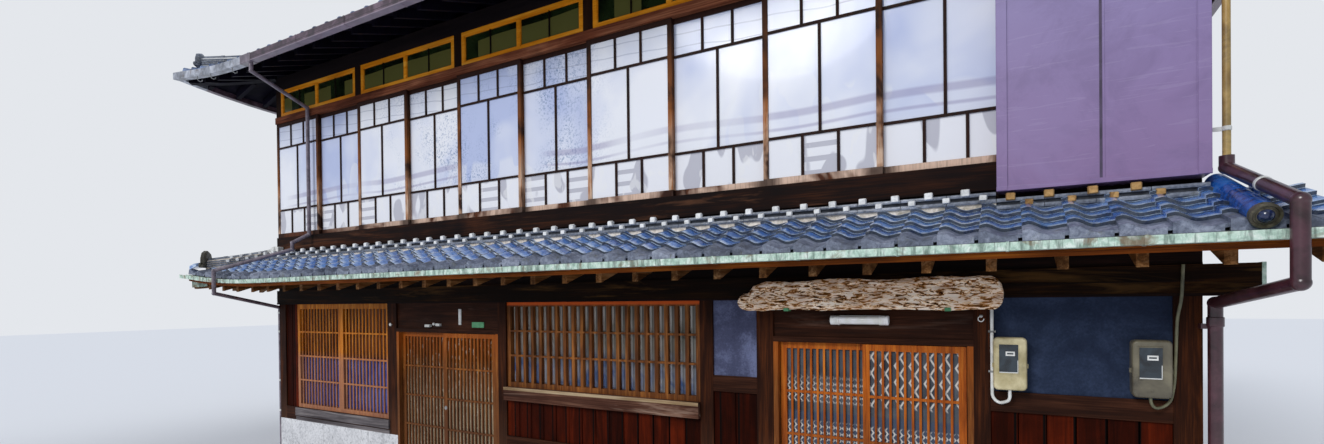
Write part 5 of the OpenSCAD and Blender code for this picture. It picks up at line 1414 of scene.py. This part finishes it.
leftR = 0.024
rightR = 0.036
bands = Shape()
for z in (0.62, 1.05, 1.75, 2.02):
    band(bands, Vector((leftX - leftR - 0.009, frontY + leftR, z)), (0, 0, 1), leftR, 0.03)
bands.piece("leftPipeBands", whitePlastic, slot="pale_pipe", smooth=True)
sockets = Shape()
for z in (0.5, 1.1, 1.98):
    band(sockets, Vector((rightX + rightR + 0.006, frontY - rightR - 0.036, z)), (0, 0, 1), rightR + 0.002,
         0.06)
sockets.piece("rightPipeSockets", pipeBrown, slot="brown_pipe", smooth=True)
ring = Shape()
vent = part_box("vent_pipe")
ventMid = (vent[0] + vent[1]) / 2
for z in (3.12, 4.05, 4.9):
    band(ring, Vector((ventMid.x, ventMid.y, z)), (0, 0, 1), 0.02, 0.028)
    ring.box((rightX - 0.02, ventMid.y - 0.006, z - 0.012), (ventMid.x, ventMid.y + 0.006, z + 0.012))
bendHigh = Vector((rightX + 0.09, frontY - rightR - 0.06, 2.89))
bendLow = Vector((rightX + 0.158, frontY - lowerRoof["over"] - rightR - 0.086, 2.583))
band(ring, bendHigh + (bendLow - bendHigh) * 0.55, bendLow - bendHigh, rightR, 0.026)
ring.piece("pipeRings", whitePlastic, slot="pale_pipe", smooth=True)
print("gutters and pipes dressed")


# Upper storey

bay = sashLook["bay"]
bayX = [sashLook["start"] + k * bay for k in range(12)]
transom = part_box("transom_frames")
transomLook = {"post": 0.12, "rim": 0.046, "muntin": 0.014, "bead": 0.008}
rim = transomLook["rim"]
lightWidth = (2 * bay - transomLook["post"] - 3 * rim) / 2
lightFoot = transom[0].z + rim
lightHigh = transom[1].z - transom[0].z - 2 * rim
lightStart = transomLook["post"] / 2 + rim
muntin = Shape()
muntin.box((-transomLook["muntin"] / 2, -0.006, 0), (transomLook["muntin"] / 2, 0.006, lightHigh))
muntinPart = muntin.hidden("muntin")
for side, name in enumerate(("transomBarsLeft", "transomBarsRight")):
    first = (bayX[0] + lightStart + lightWidth / 2 + side * (lightWidth + rim), transom[0].y + 0.012,
             lightFoot)
    rowOf(name, muntinPart, 5, first, (2 * bay, 0, 0), girtWood, seed=2, slot="honey_timber")
beads = Shape()
beadY = transom[0].y + 0.006
for k in range(5):
    for side in (0, 1):
        x0 = bayX[2 * k] + lightStart + side * (lightWidth + rim)
        x1, z0, z1, t = x0 + lightWidth, lightFoot, lightFoot + lightHigh, transomLook["bead"]
        for a, b, c, d in ((x0, z0, x1, z0 + t), (x0, z1 - t, x1, z1), (x0, z0, x0 + t, z1),
                           (x1 - t, z0, x1, z1)):
            beads.box((a, beadY, b), (c, beadY + 0.012, d))
beads.piece("transomBeads", honeyWood, slot="honey_timber")

# Shutter box: sheet joints, lips top and bottom, rivets
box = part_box("shutter_box")
lip = 0.028
lips = Shape()
faceY = frontY - 0.200
low, high = box[0].z + 0.02, box[1].z - 0.02
for z0, z1 in ((box[0].z - 0.004, box[0].z + lip), (box[1].z - lip, box[1].z)):
    lips.box((box[0].x - 0.004, faceY - 0.006, z0), (box[1].x + 0.004, faceY + 0.002, z1))
for x0, x1 in ((box[0].x - 0.003, box[0].x + 0.05), (box[1].x - 0.065, box[1].x + 0.003), (4.540, 4.552)):
    lips.box((x0, faceY - 0.004, low), (x1, faceY + 0.002, high))
lips.piece("shutterBoxLips", shutterPaint, slot="shutter_paint", bevel=0.002)
seam = Shape()
seam.box((4.524, faceY - 0.002, low), (4.538, faceY + 0.002, high))
seam.piece("shutterBoxSeam", seamDark, slot="shutter_paint")
rivet = Shape().turned([(0, 0.005), (0.002, 0.0045), (0.003, 0.002)], (0, 0, 0), (0, -1, 0),
                       8).hidden("rivet")
for index, x in enumerate((box[0].x + 0.03, box[1].x - 0.03)):
    rowOf("boxRivets%d" % (index + 1), rivet, 7, (x, faceY - 0.0045, box[0].z + 0.12), (0, 0, 0.28),
          shutterPaint, play=(0.003, 0, 0.006), seed=8 + index, slot="shutter_paint")

# Battens of the boarded end bay
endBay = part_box("upper_end_panel")
battens = Shape()
for k in range(1, 6):
    x = endBay[0].x + (endBay[1].x - endBay[0].x) * k / 6
    battens.box((x - 0.012, endBay[0].y - 0.012, endBay[0].z), (x + 0.012, endBay[0].y + 0.004, endBay[1].z))
battens.piece("endBayBattens", honeyWood, slot="clay_plaster", bevel=0.002)
print("upper storey dressed")


# Ground storey

boardLook = {"gap": 0.006, "thick": 0.06}
runs = {"corner": (-4.905, -4.640), "middle": (-0.686, 1.639), "narrow": (1.766, 2.173),
        "wide": (3.912, 4.915)}
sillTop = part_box("ground_sills")[1].z
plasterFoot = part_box("front_plaster")[0].z
dadoFoot = plasterFoot - 0.14
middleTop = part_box("window_sill_board")[0].z
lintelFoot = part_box("lintel_beam")[0].z


def boardsBetween(shape, run, top, count):
    # Upright boards over the sill, with gaps between them and a little play in depth
    x0, x1 = run
    width = (x1 - x0) / count
    half = boardLook["gap"] / 2
    for k in range(count):
        a = x0 + width * k + (half if k else 0)
        b = x0 + width * (k + 1) - (half if k < count - 1 else 0)
        y = frontY + 0.02 + 0.0007 * ((k * 37) % 5)
        back = frontY + 0.02 + boardLook["thick"]
        shape.loft([[(a, y + 0.003, z), (a + 0.003, y, z), (b - 0.003, y, z), (b, y + 0.003, z), (b, back, z),
                     (a, back, z)] for z in (sillTop, top)])


boards = Shape()
for key, top, count in (("middle", middleTop, 14), ("corner", lintelFoot, 2), ("narrow", dadoFoot, 2),
                        ("wide", dadoFoot, 6)):
    boardsBetween(boards, runs[key], top, count)
boards.piece("wallBoards", panelBoards, slot="wainscot_timber", replaces=("wainscot_boards",))
rails = Shape()
for key in ("narrow", "wide"):
    x0, x1 = runs[key]
    rails.box((x0, frontY, dadoFoot), (x1, frontY + 0.11, plasterFoot))
    rails.box((x0, frontY + 0.004, sillTop), (x1, frontY + 0.022, sillTop + 0.035))
rails.piece("dadoRails", sillDark, slot="wainscot_timber", bevel=0.003)
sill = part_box("window_sill_board")
trim = Shape()
trim.box((sill[0].x, sill[0].y - 0.004, sill[1].z - 0.03), (sill[1].x, sill[0].y + 0.01, sill[1].z + 0.001))
trim.piece("sillBoardEdges", sillEdgeWood, slot="sill_timber", bevel=0.002)
lowSill = Shape()
lowSill.box((-4.66, frontY - 0.022, sillTop - 0.115), (-2.64, frontY + 0.01, sillTop - 0.004))
lowSill.box((-4.66, frontY - 0.012, 0.522), (-2.64, frontY + 0.01, 0.57))
lowSill.piece("leftWindowSill", greySillWood, slot="sill_timber", bevel=0.004)

# The beam's copper end cap and the seams along it
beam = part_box("lintel_beam")
copper = Shape()
copper.box((beam[1].x - 0.016, beam[0].y - 0.003, beam[0].z - 0.003),
           (beam[1].x + 0.004, beam[0].y + 0.145, beam[1].z + 0.003))
copper.piece("beamEndCap", copperGreen, slot="lintel_timber", bevel=0.002)
planks = Shape()
planks.box((leftX, beam[0].y - 0.004, beam[0].z + 0.088), (rightX, beam[0].y + 0.004, beam[0].z + 0.094))
planks.box((leftX, beam[0].y - 0.006, beam[0].z - 0.002),
           (rightX + 0.2, beam[0].y + 0.004, beam[0].z + 0.016))
planks.piece("lintelSeams", girtWood, slot="lintel_timber")

# A finger pull on each door leaf, on the stile that meets the jamb
for door in ("left_door", "entrance"):
    for hand in ("left", "right"):
        body = door + "_" + hand
        lo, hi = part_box(body + "_leaf")
        stileX = hi.x - 0.026 if hand == "left" else lo.x + 0.026
        pull = Shape()
        pull.turned([(-0.0012, 0.021), (0.0, 0.023), (0.0022, 0.022), (0.0022, 0.017), (0.0006, 0.015),
                     (0.0006, 0.002)], (stileX, lo.y, lo.z + 0.86), (0, -1, 0), 18)
        pull.piece(body + "_pull", steelGrey, slot="lattice_timber", body=body)
print("ground storey dressed")


# Fittings

def eased(t):
    t = min(1.0, max(0.0, t))
    return t * t * (3 - 2 * t)


def cornerCut(distance, radius):
    # 0 away from a plank's end, up to 1 at the end itself, along a quarter circle
    return 1 - math.sqrt(max(0, 1 - (1 - min(1, distance / radius)) ** 2))


def noiseAt(x, y, z):
    return noise.noise(Vector((x, y, z)))


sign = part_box("sign_board")
signLook = {"x0": 2.082, "x1": 3.997, "face": sign[0].y, "thick": 0.060, "z0": 2.042, "z1": 2.297,
            "rough": 0.011, "columns": 220, "rows": 30}


def signPiece():
    # A plank of driftwood: broken ends, wandering edges and a pitted, grooved face
    x0, x1, z0, z1, face = (signLook[k] for k in ("x0", "x1", "z0", "z1", "face"))
    columns, rows = signLook["columns"], signLook["rows"]
    rings = []
    for i in range(columns + 1):
        x = x0 + (x1 - x0) * i / columns
        fromLeft, fromRight = x - x0, x1 - x
        top = z1 - 0.012 + noiseAt(x * 4.1, 7.7, 0) * 0.016 + noiseAt(x * 17, 2.7, 0) * 0.006
        foot = z0 + 0.012 + noiseAt(x * 3.7, 1.7, 5) * 0.016 + noiseAt(x * 15, 4.7, 3) * 0.005
        top -= 0.075 * (1 - eased(fromLeft / 0.26))
        if fromLeft < 0.26:
            top -= 0.035 * (1 - eased((fromLeft - 0.09) / 0.05))
        top -= 0.0675 * cornerCut(fromLeft, 0.05) + 0.105 * cornerCut(fromRight, 0.085)
        foot += 0.06 * cornerCut(fromLeft, 0.07) + 0.085 * cornerCut(fromRight, 0.085)
        ring = []
        for j in range(rows + 1):
            v = j / rows
            z = foot + (top - foot) * v
            edge = 0.016 * (1 - min(1.0, min(v, 1 - v) * 7)) ** 2
            groove = noiseAt(x * 1.6, 3.3, z * 42) * 0.5 + noiseAt(x * 6, 1.3, z * 90) * 0.4
            dent = max(0.0, noiseAt(x * 9, 5.5, z * 22) - 0.12)
            depth = 0.007 + edge - groove * signLook["rough"] * 0.6 + dent * 0.04
            ring.append((x, face + max(depth, 0.0005), z))
        for j in range(rows, -1, -3):
            ring.append((x, face + signLook["thick"] - 0.003, foot + (top - foot) * (0.02 + 0.96 * j / rows)))
        rings.append(ring)
    Shape().loft(rings).piece("signPlank", signWood, slot="driftwood", replaces=("sign_board",), smooth=True)


signPiece()
clips = Shape()
for x in (2.496, 3.657):
    clips.box((x - 0.02, signLook["face"], signLook["z0"] + 0.004),
              (x + 0.02, signLook["face"] + 0.07, signLook["z0"] + 0.03))
clips.piece("signClips", greenPlastic, slot="driftwood", bevel=0.004)
brackets = Shape()
for x in (signLook["x0"] + 0.25, signLook["x1"] - 0.25):
    for z in (2.10, 2.22):
        brackets.box((x - 0.02, signLook["face"] + 0.055, z), (x + 0.02, beam[0].y, z + 0.03))
brackets.piece("signBrackets", steelGrey, slot="driftwood", bevel=0.002)

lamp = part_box("porch_lamp")
lampPiece = Shape()
mid = (lamp[0] + lamp[1]) / 2
r = (lamp[1].z - lamp[0].z) / 2
length = lamp[1].x - lamp[0].x
profile = [(0.0, r * 0.7), (0.004, r * 0.96), (0.012, r)]
for k in range(4):
    profile += [(0.018 + k * 0.012, r), (0.021 + k * 0.012, r * 0.9), (0.024 + k * 0.012, r)]
profile += [(0.07, r), (0.072, r * 0.86)]
profile += [(length - a, s) for a, s in reversed(profile)]
lampPiece.turned(profile, (lamp[0].x, mid.y, mid.z), (1, 0, 0), 28)
lampPiece.box((lamp[0].x + 0.03, mid.y, mid.z + r * 0.3),
              (lamp[1].x - 0.03, lamp[1].y + 0.002, mid.z + r * 0.95))
lampPiece.piece("porchLampTube", lampWhite, slot="lamp_white", replaces=("porch_lamp",), smooth=True)

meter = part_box("meters")
meterSize = {"width": 0.20, "height": 0.36, "depth": 0.13, "round": 0.03, "window": (0.118, 0.20)}


def roundedCase(x, z, inset):
    # The outline of a meter case whose corner lies at x and z, drawn in by the inset
    w, h, q = (meterSize[k] for k in ("width", "height", "round"))
    return [(cx + (q - inset) * math.cos(math.radians(start + 18 * k)),
             cz + (q - inset) * math.sin(math.radians(start + 18 * k)))
            for cx, cz, start in ((x + w - q, z + q, -90), (x + w - q, z + h - q, 0), (x + q, z + h - q, 90),
                                  (x + q, z + q, 180)) for k in range(6)]


cases = Shape()
windows = Shape()
rims = Shape()
w, h, d = (meterSize[k] for k in ("width", "height", "depth"))
a, b = (v / 2 for v in meterSize["window"])
y0, z0 = meter[0].y, meter[0].z
for x in (meter[0].x, meter[1].x - w):
    cases.loft([[(p, y0 + back, q) for p, q in roundedCase(x, z0, inset)] for back, inset in
                ((d, 0.004), (d * 0.55, 0.0), (0.02, 0.0), (0.008, 0.005), (0.004, 0.012))])
    cases.box((x + 0.02, y0 + 0.03, z0), (x + w - 0.02, y0 + d, z0 + 0.07))
    cx, cz = x + w * 0.46, z0 + h * 0.6
    cases.loft([[(cx + a * s * grow, y0 + back, cz + b * t * grow)
                 for s, t in ((-1, -1), (1, -1), (1, 1), (-1, 1))]
                for back, grow in ((0.03, 1.07), (0.004, 1.07), (0.001, 1.04), (0.001, 0.98), (0.003, 0.96))])
    for shape, s0, t0, s1, t1, front, back in (
            (windows, -0.96, -0.97, 0.96, 0.97, 0.001, 0.02), (rims, -0.3, 0.2, 0.62, 0.5, 0.0002, 0.002),
            (windows, -0.16, 0.3, 0.48, 0.4, 0.0, 0.002), (rims, -0.95, -0.96, 0.95, -0.9, 0.0002, 0.002),
            (rims, 0.88, -0.94, 0.94, -0.1, 0.0002, 0.002)):
        shape.box((cx + a * s0, y0 + front, cz + b * t0), (cx + a * s1, y0 + back, cz + b * t1))
    cases.turned([(0, 0.009), (0.003, 0.009), (0.004, 0.005)], (x + w / 2, y0 + 0.0045, z0 + h * 0.13),
                 (0, -1, 0), 12)
    for side in (x - 0.008, x + w - 0.004):
        cases.box((side, y0 + 0.05, z0 + h * 0.42), (side + 0.012, y0 + 0.07, z0 + h * 0.5))
cases.piece("meterCases", meterCase, slot="meter_case", replaces=("meters",), bevel=0.002)
windows.piece("meterWindows", meterGlass, slot="meter_case")
rims.piece("meterRims", whitePlastic, slot="meter_case")

conduitX, conduitY = 3.923, -0.014
conduit = Shape()
conduit.tube(rounded([house(conduitX, conduitY, lintelFoot), house(conduitX, conduitY, 1.44),
                      house(3.965, -0.02, 1.40), house(4.03, -0.06, 1.43), house(4.03, -0.07, 1.52)], 0.03),
             0.011, 10)
cable = Shape()
cable.tube(rounded([house(4.955, -0.045, 2.33), house(4.947, -0.045, 2.12), house(4.93, -0.02, 2.0),
                    house(4.918, -0.014, 1.60), house(4.895, -0.03, 1.47), house(4.82, -0.06, 1.43),
                    house(4.79, -0.07, 1.47), house(4.79, -0.07, 1.53)], 0.05), 0.009, 10)
cable.piece("meterCable", cableOlive, slot="meter_case", smooth=True)
conduit.piece("meterConduits", whitePlastic, slot="meter_case", smooth=True)
saddles = Shape()
for z in (1.62, 1.9, 2.08):
    band(saddles, house(conduitX, conduitY, z), (0, 0, 1), 0.011, 0.014)
    saddles.box(house(conduitX - 0.023, -0.006, z - 0.007), house(conduitX + 0.023, 0.002, z + 0.007))
saddles.piece("conduitSaddles", steelGrey, slot="meter_case")
hook = Shape()
hookX, hookZ, hookRadius = 3.856, 1.988, 0.018
hookAngles = [math.radians(a) for a in range(60, 390, 22)]
hook.tube([house(hookX + hookRadius * math.cos(a), -0.03, hookZ + hookRadius * math.sin(a))
           for a in hookAngles],
          0.0035, 8)
hook.turned([(0, 0.012), (0.006, 0.012), (0.03, 0.004)], house(hookX, 0.0, hookZ + 0.02), (0, -1, 0), 10)
hook.piece("wallHook", whitePlastic, slot="meter_case", smooth=True)

small = Shape()
small.box(house(-1.96, -0.018, 1.855), house(-1.88, 0.022, 1.885))
small.turned([(0, 0.018), (0.012, 0.018), (0.02, 0.012)], house(-1.834, 0.021, 1.891), (0, -1, 0), 16)
small.box(house(-1.78, -0.012, 1.868), house(-1.715, 0.022, 1.898))
small.box(house(-1.418, 0.008, 1.885), house(-1.380, 0.022, 2.066))
small.turned([(-0.02, 0.012), (0.004, 0.014), (0.012, 0.02), (0.02, 0.02), (0.026, 0.012)],
             house(-2.584, 0.0, 1.877), (0, -1, 0), 16)
small.piece("doorHeadFittings", whitePlastic, slot="lamp_white", bevel=0.002)
plate = Shape()
plate.box(house(-1.209, 0.010, 1.856), house(-1.024, 0.022, 1.920))
plate.piece("doorHeadPlate", greenPlastic, slot="meter_case", bevel=0.004)
print("fittings placed")


# Sides and back: boards up to the floor line, posts and rails above

sideLook = {"boardTop": 2.30, "thick": 0.022, "post": 0.105, "proud": 0.012, "frameTop": 5.355, "gap": 0.006,
            "sideBoards": 38, "backBoards": 54}
lowWindows = [(-3.3775, -1.6775), (1.6775, 3.3775)]
highWindows = [(-4.22, -2.52), (-0.85, 0.85), (2.52, 4.22)]
frameRails = [(2.86, 3.0), (3.42, 3.52), (4.80, 4.92), (5.22, 5.355)]
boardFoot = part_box("foundation")[1].z + 0.01
boardTop, post, frameTop = (sideLook[k] for k in ("boardTop", "post", "frameTop"))


def spread(start, end, count, k):
    # The two ends of board k where boards with gaps fill a wall
    step = (end - start) / count
    return start + k * step, start + (k + 1) * step - sideLook["gap"]


def onWall(shape, wallX, way, y0, y1, z0, z1, proud):
    # A board or rail on a side wall; way is 1 at the right and -1 at the left
    inner, outer = sorted((wallX - 0.002 * way, wallX + proud * way))
    shape.box((inner, y0, z0), (outer, y1, z1))


sideShape = Shape()
for k in range(sideLook["sideBoards"]):
    y0, y1 = spread(frontY + 0.16, backY, sideLook["sideBoards"], k)
    for x, way in ((rightX, 1), (leftX, -1)):
        onWall(sideShape, x, way, y0, y1, boardFoot, boardTop, sideLook["thick"] - 0.004 * (k % 2))
sideShape.piece("sideWallBoards", sideBoards, slot="clay_plaster")
backShape = Shape()
for k in range(sideLook["backBoards"]):
    x0, x1 = spread(leftX, rightX, sideLook["backBoards"], k)
    blocked = any(x1 > a - 0.06 and x0 < b + 0.06 for a, b in lowWindows)
    for z0, z1 in ((boardFoot, 1.07), (2.13, boardTop)) if blocked else ((boardFoot, boardTop),):
        backShape.box((x0, backY - 0.002, z0), (x1, backY + sideLook["thick"] - 0.004 * (k % 2), z1))
backShape.piece("backWallBoards", backBoards, slot="clay_plaster")
frames = Shape()
proud = sideLook["proud"]
for x, way, low in ((rightX, 1, 2.35), (leftX, -1, 2.95)):
    onWall(frames, x, way, frontY + 0.15, backY + 0.02, boardTop, boardTop + 0.05, 0.034)
    for k in range(9):
        y = frontY + 0.21 + k * (backY - frontY - 0.21 - post) / 8
        onWall(frames, x, way, y, y + post, low, frameTop, proud)
    for z0, z1 in frameRails:
        if z1 > low + 0.1:
            onWall(frames, x, way, frontY + 0.205, backY, z0, z1, proud - (0.003 if way > 0 else 0))
frames.box((leftX, backY - 0.002, boardTop), (rightX, backY + 0.034, boardTop + 0.05))
for line in bayX:
    x = min(max(line - post / 2, leftX), rightX - post)
    blocked = any(x + post > c - 0.9 and x < c + 0.9 for c in (-3.37, 0.0, 3.37))
    for z0, z1 in ((2.35, 3.545), (4.71, frameTop)) if blocked else ((2.35, frameTop),):
        frames.box((x, backY - 0.002, z0), (x + post, backY + proud, z1))
for z0, z1 in (frameRails[0], *frameRails[2:]):
    frames.box((leftX, backY - 0.002, z0), (rightX, backY + proud - 0.003, z1))
frames.piece("wallFrames", upperPostWood, slot="clay_plaster", bevel=0.002)
casings = Shape()
t, y0, y1 = 0.045, backY - 0.002, backY + 0.028
for runsHere, z0, z1 in ((highWindows, 3.6, 4.655), (lowWindows, 1.15, 2.05)):
    for x0, x1 in runsHere:
        casings.box((x0 - t, y0, z0 - t), (x1 + t, y1 + 0.02, z0 - 0.002))
        casings.box((x0 - t, y0, z1 + 0.002), (x1 + t, y1 + 0.012, z1 + t))
        casings.box((x0 - t, y0, z0 - 0.002), (x0 - 0.002, y1, z1 + 0.002))
        casings.box((x1 + 0.002, y0, z0 - 0.002), (x1 + t, y1, z1 + 0.002))
casings.piece("backCasings", upperPostWood, slot="clay_plaster", bevel=0.003)
print("sides and back dressed")


# Stage, light and camera

def makeStage():
    p = Paint("floorPale")
    p.node("ShaderNodeOutputMaterial", None, {0: p.node("ShaderNodeBsdfDiffuse", None, {0: "e4e6ea"})})
    mesh = meshOf("floor", [(-60, -60, 0), (60, -60, 0), (60, 60, 0), (-60, 60, 0)], [(0, 1, 2, 3)])
    mesh.materials.append(p.material)
    made = bpy.data.objects.new("floor", mesh)
    scene.collection.objects.link(made)
    made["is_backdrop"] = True


def makeWorld(strength, background):
    # A pale sky for the light, and a plain tone for what the camera sees
    scene.world = bpy.data.worlds.new("studio")
    scene.world.use_nodes = True
    g = Graph(scene.world.node_tree)
    g.tree.nodes.clear()
    rays = g.node("ShaderNodeLightPath").socket.node
    seen = g.maths("MAXIMUM", *(Wire(g, rays.outputs[k]) for k in ("Is Camera Ray", "Is Transmission Ray")))
    sky = g.node("ShaderNodeBackground", None, {0: "dfe6f2", 1: strength})
    plain = g.node("ShaderNodeBackground", None, {0: background, 1: 1.0})
    mix = g.node("ShaderNodeMixShader", None, {0: seen, 1: sky, 2: plain})
    g.node("ShaderNodeOutputWorld", None, {0: mix})


def makeSun(name, direction, strength, spread, glints):
    sun = bpy.data.lights.new(name, "SUN")
    sun.energy = strength
    sun.angle = math.radians(spread)
    made = bpy.data.objects.new(name, sun)
    made.rotation_mode = "QUATERNION"
    made.rotation_quaternion = Vector(direction).to_track_quat("-Z", "Y")
    made.visible_glossy = glints
    scene.collection.objects.link(made)


makeStage()
makeWorld(0.62, "e4e7ec")
makeSun("frontSun", (0.34, 1.0, -0.62), 1.5, 22, True)
makeSun("backSun", (-0.5, -1.0, -0.9), 0.9, 30, False)

# The photograph's camera: its distance from the street front, height, turn and framing
cameraLook = {"x": 4.0185, "distance": 4.853, "height": 2.15, "turn": 29.640, "pitch": -0.4296,
              "roll": -0.6208, "focal": 607.006, "imageWidth": 1324, "imageHeight": 444, "horizonRow": 304}


def makeCamera():
    turn, pitch, roll = (math.radians(cameraLook[k]) for k in ("turn", "pitch", "roll"))
    upright = Vector((0, 0, 1))
    ahead0 = Vector((-math.sin(turn), math.cos(turn), 0))
    right0 = Vector((math.cos(turn), math.sin(turn), 0))
    ahead = ahead0 * math.cos(pitch) + upright * math.sin(pitch)
    up1 = ahead0 * -math.sin(pitch) + upright * math.cos(pitch)
    right = right0 * math.cos(roll) + up1 * math.sin(roll)
    up = right0 * -math.sin(roll) + up1 * math.cos(roll)
    data = bpy.data.cameras.new("photoCamera")
    data.sensor_width = 36
    data.lens = cameraLook["focal"] / cameraLook["imageWidth"] * 36
    data.shift_y = (cameraLook["horizonRow"] - cameraLook["imageHeight"] / 2) / cameraLook["imageWidth"]
    data.clip_start = 0.05
    data.clip_end = 200
    made = bpy.data.objects.new("photoCamera", data)
    place = Vector((cameraLook["x"], frontY - cameraLook["distance"], cameraLook["height"]))
    made.matrix_world = Matrix.Translation(place) @ Matrix((right, up, -ahead)).transposed().to_4x4()
    scene.collection.objects.link(made)
    scene.camera = made


makeCamera()
bpy.context.view_layer.update()
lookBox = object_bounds()
for label, grown in (("low", cadBox[0] - lookBox[0]), ("high", lookBox[1] - cadBox[1])):
    print("box grown at the", label, "corner by", [round(v, 4) for v in grown])
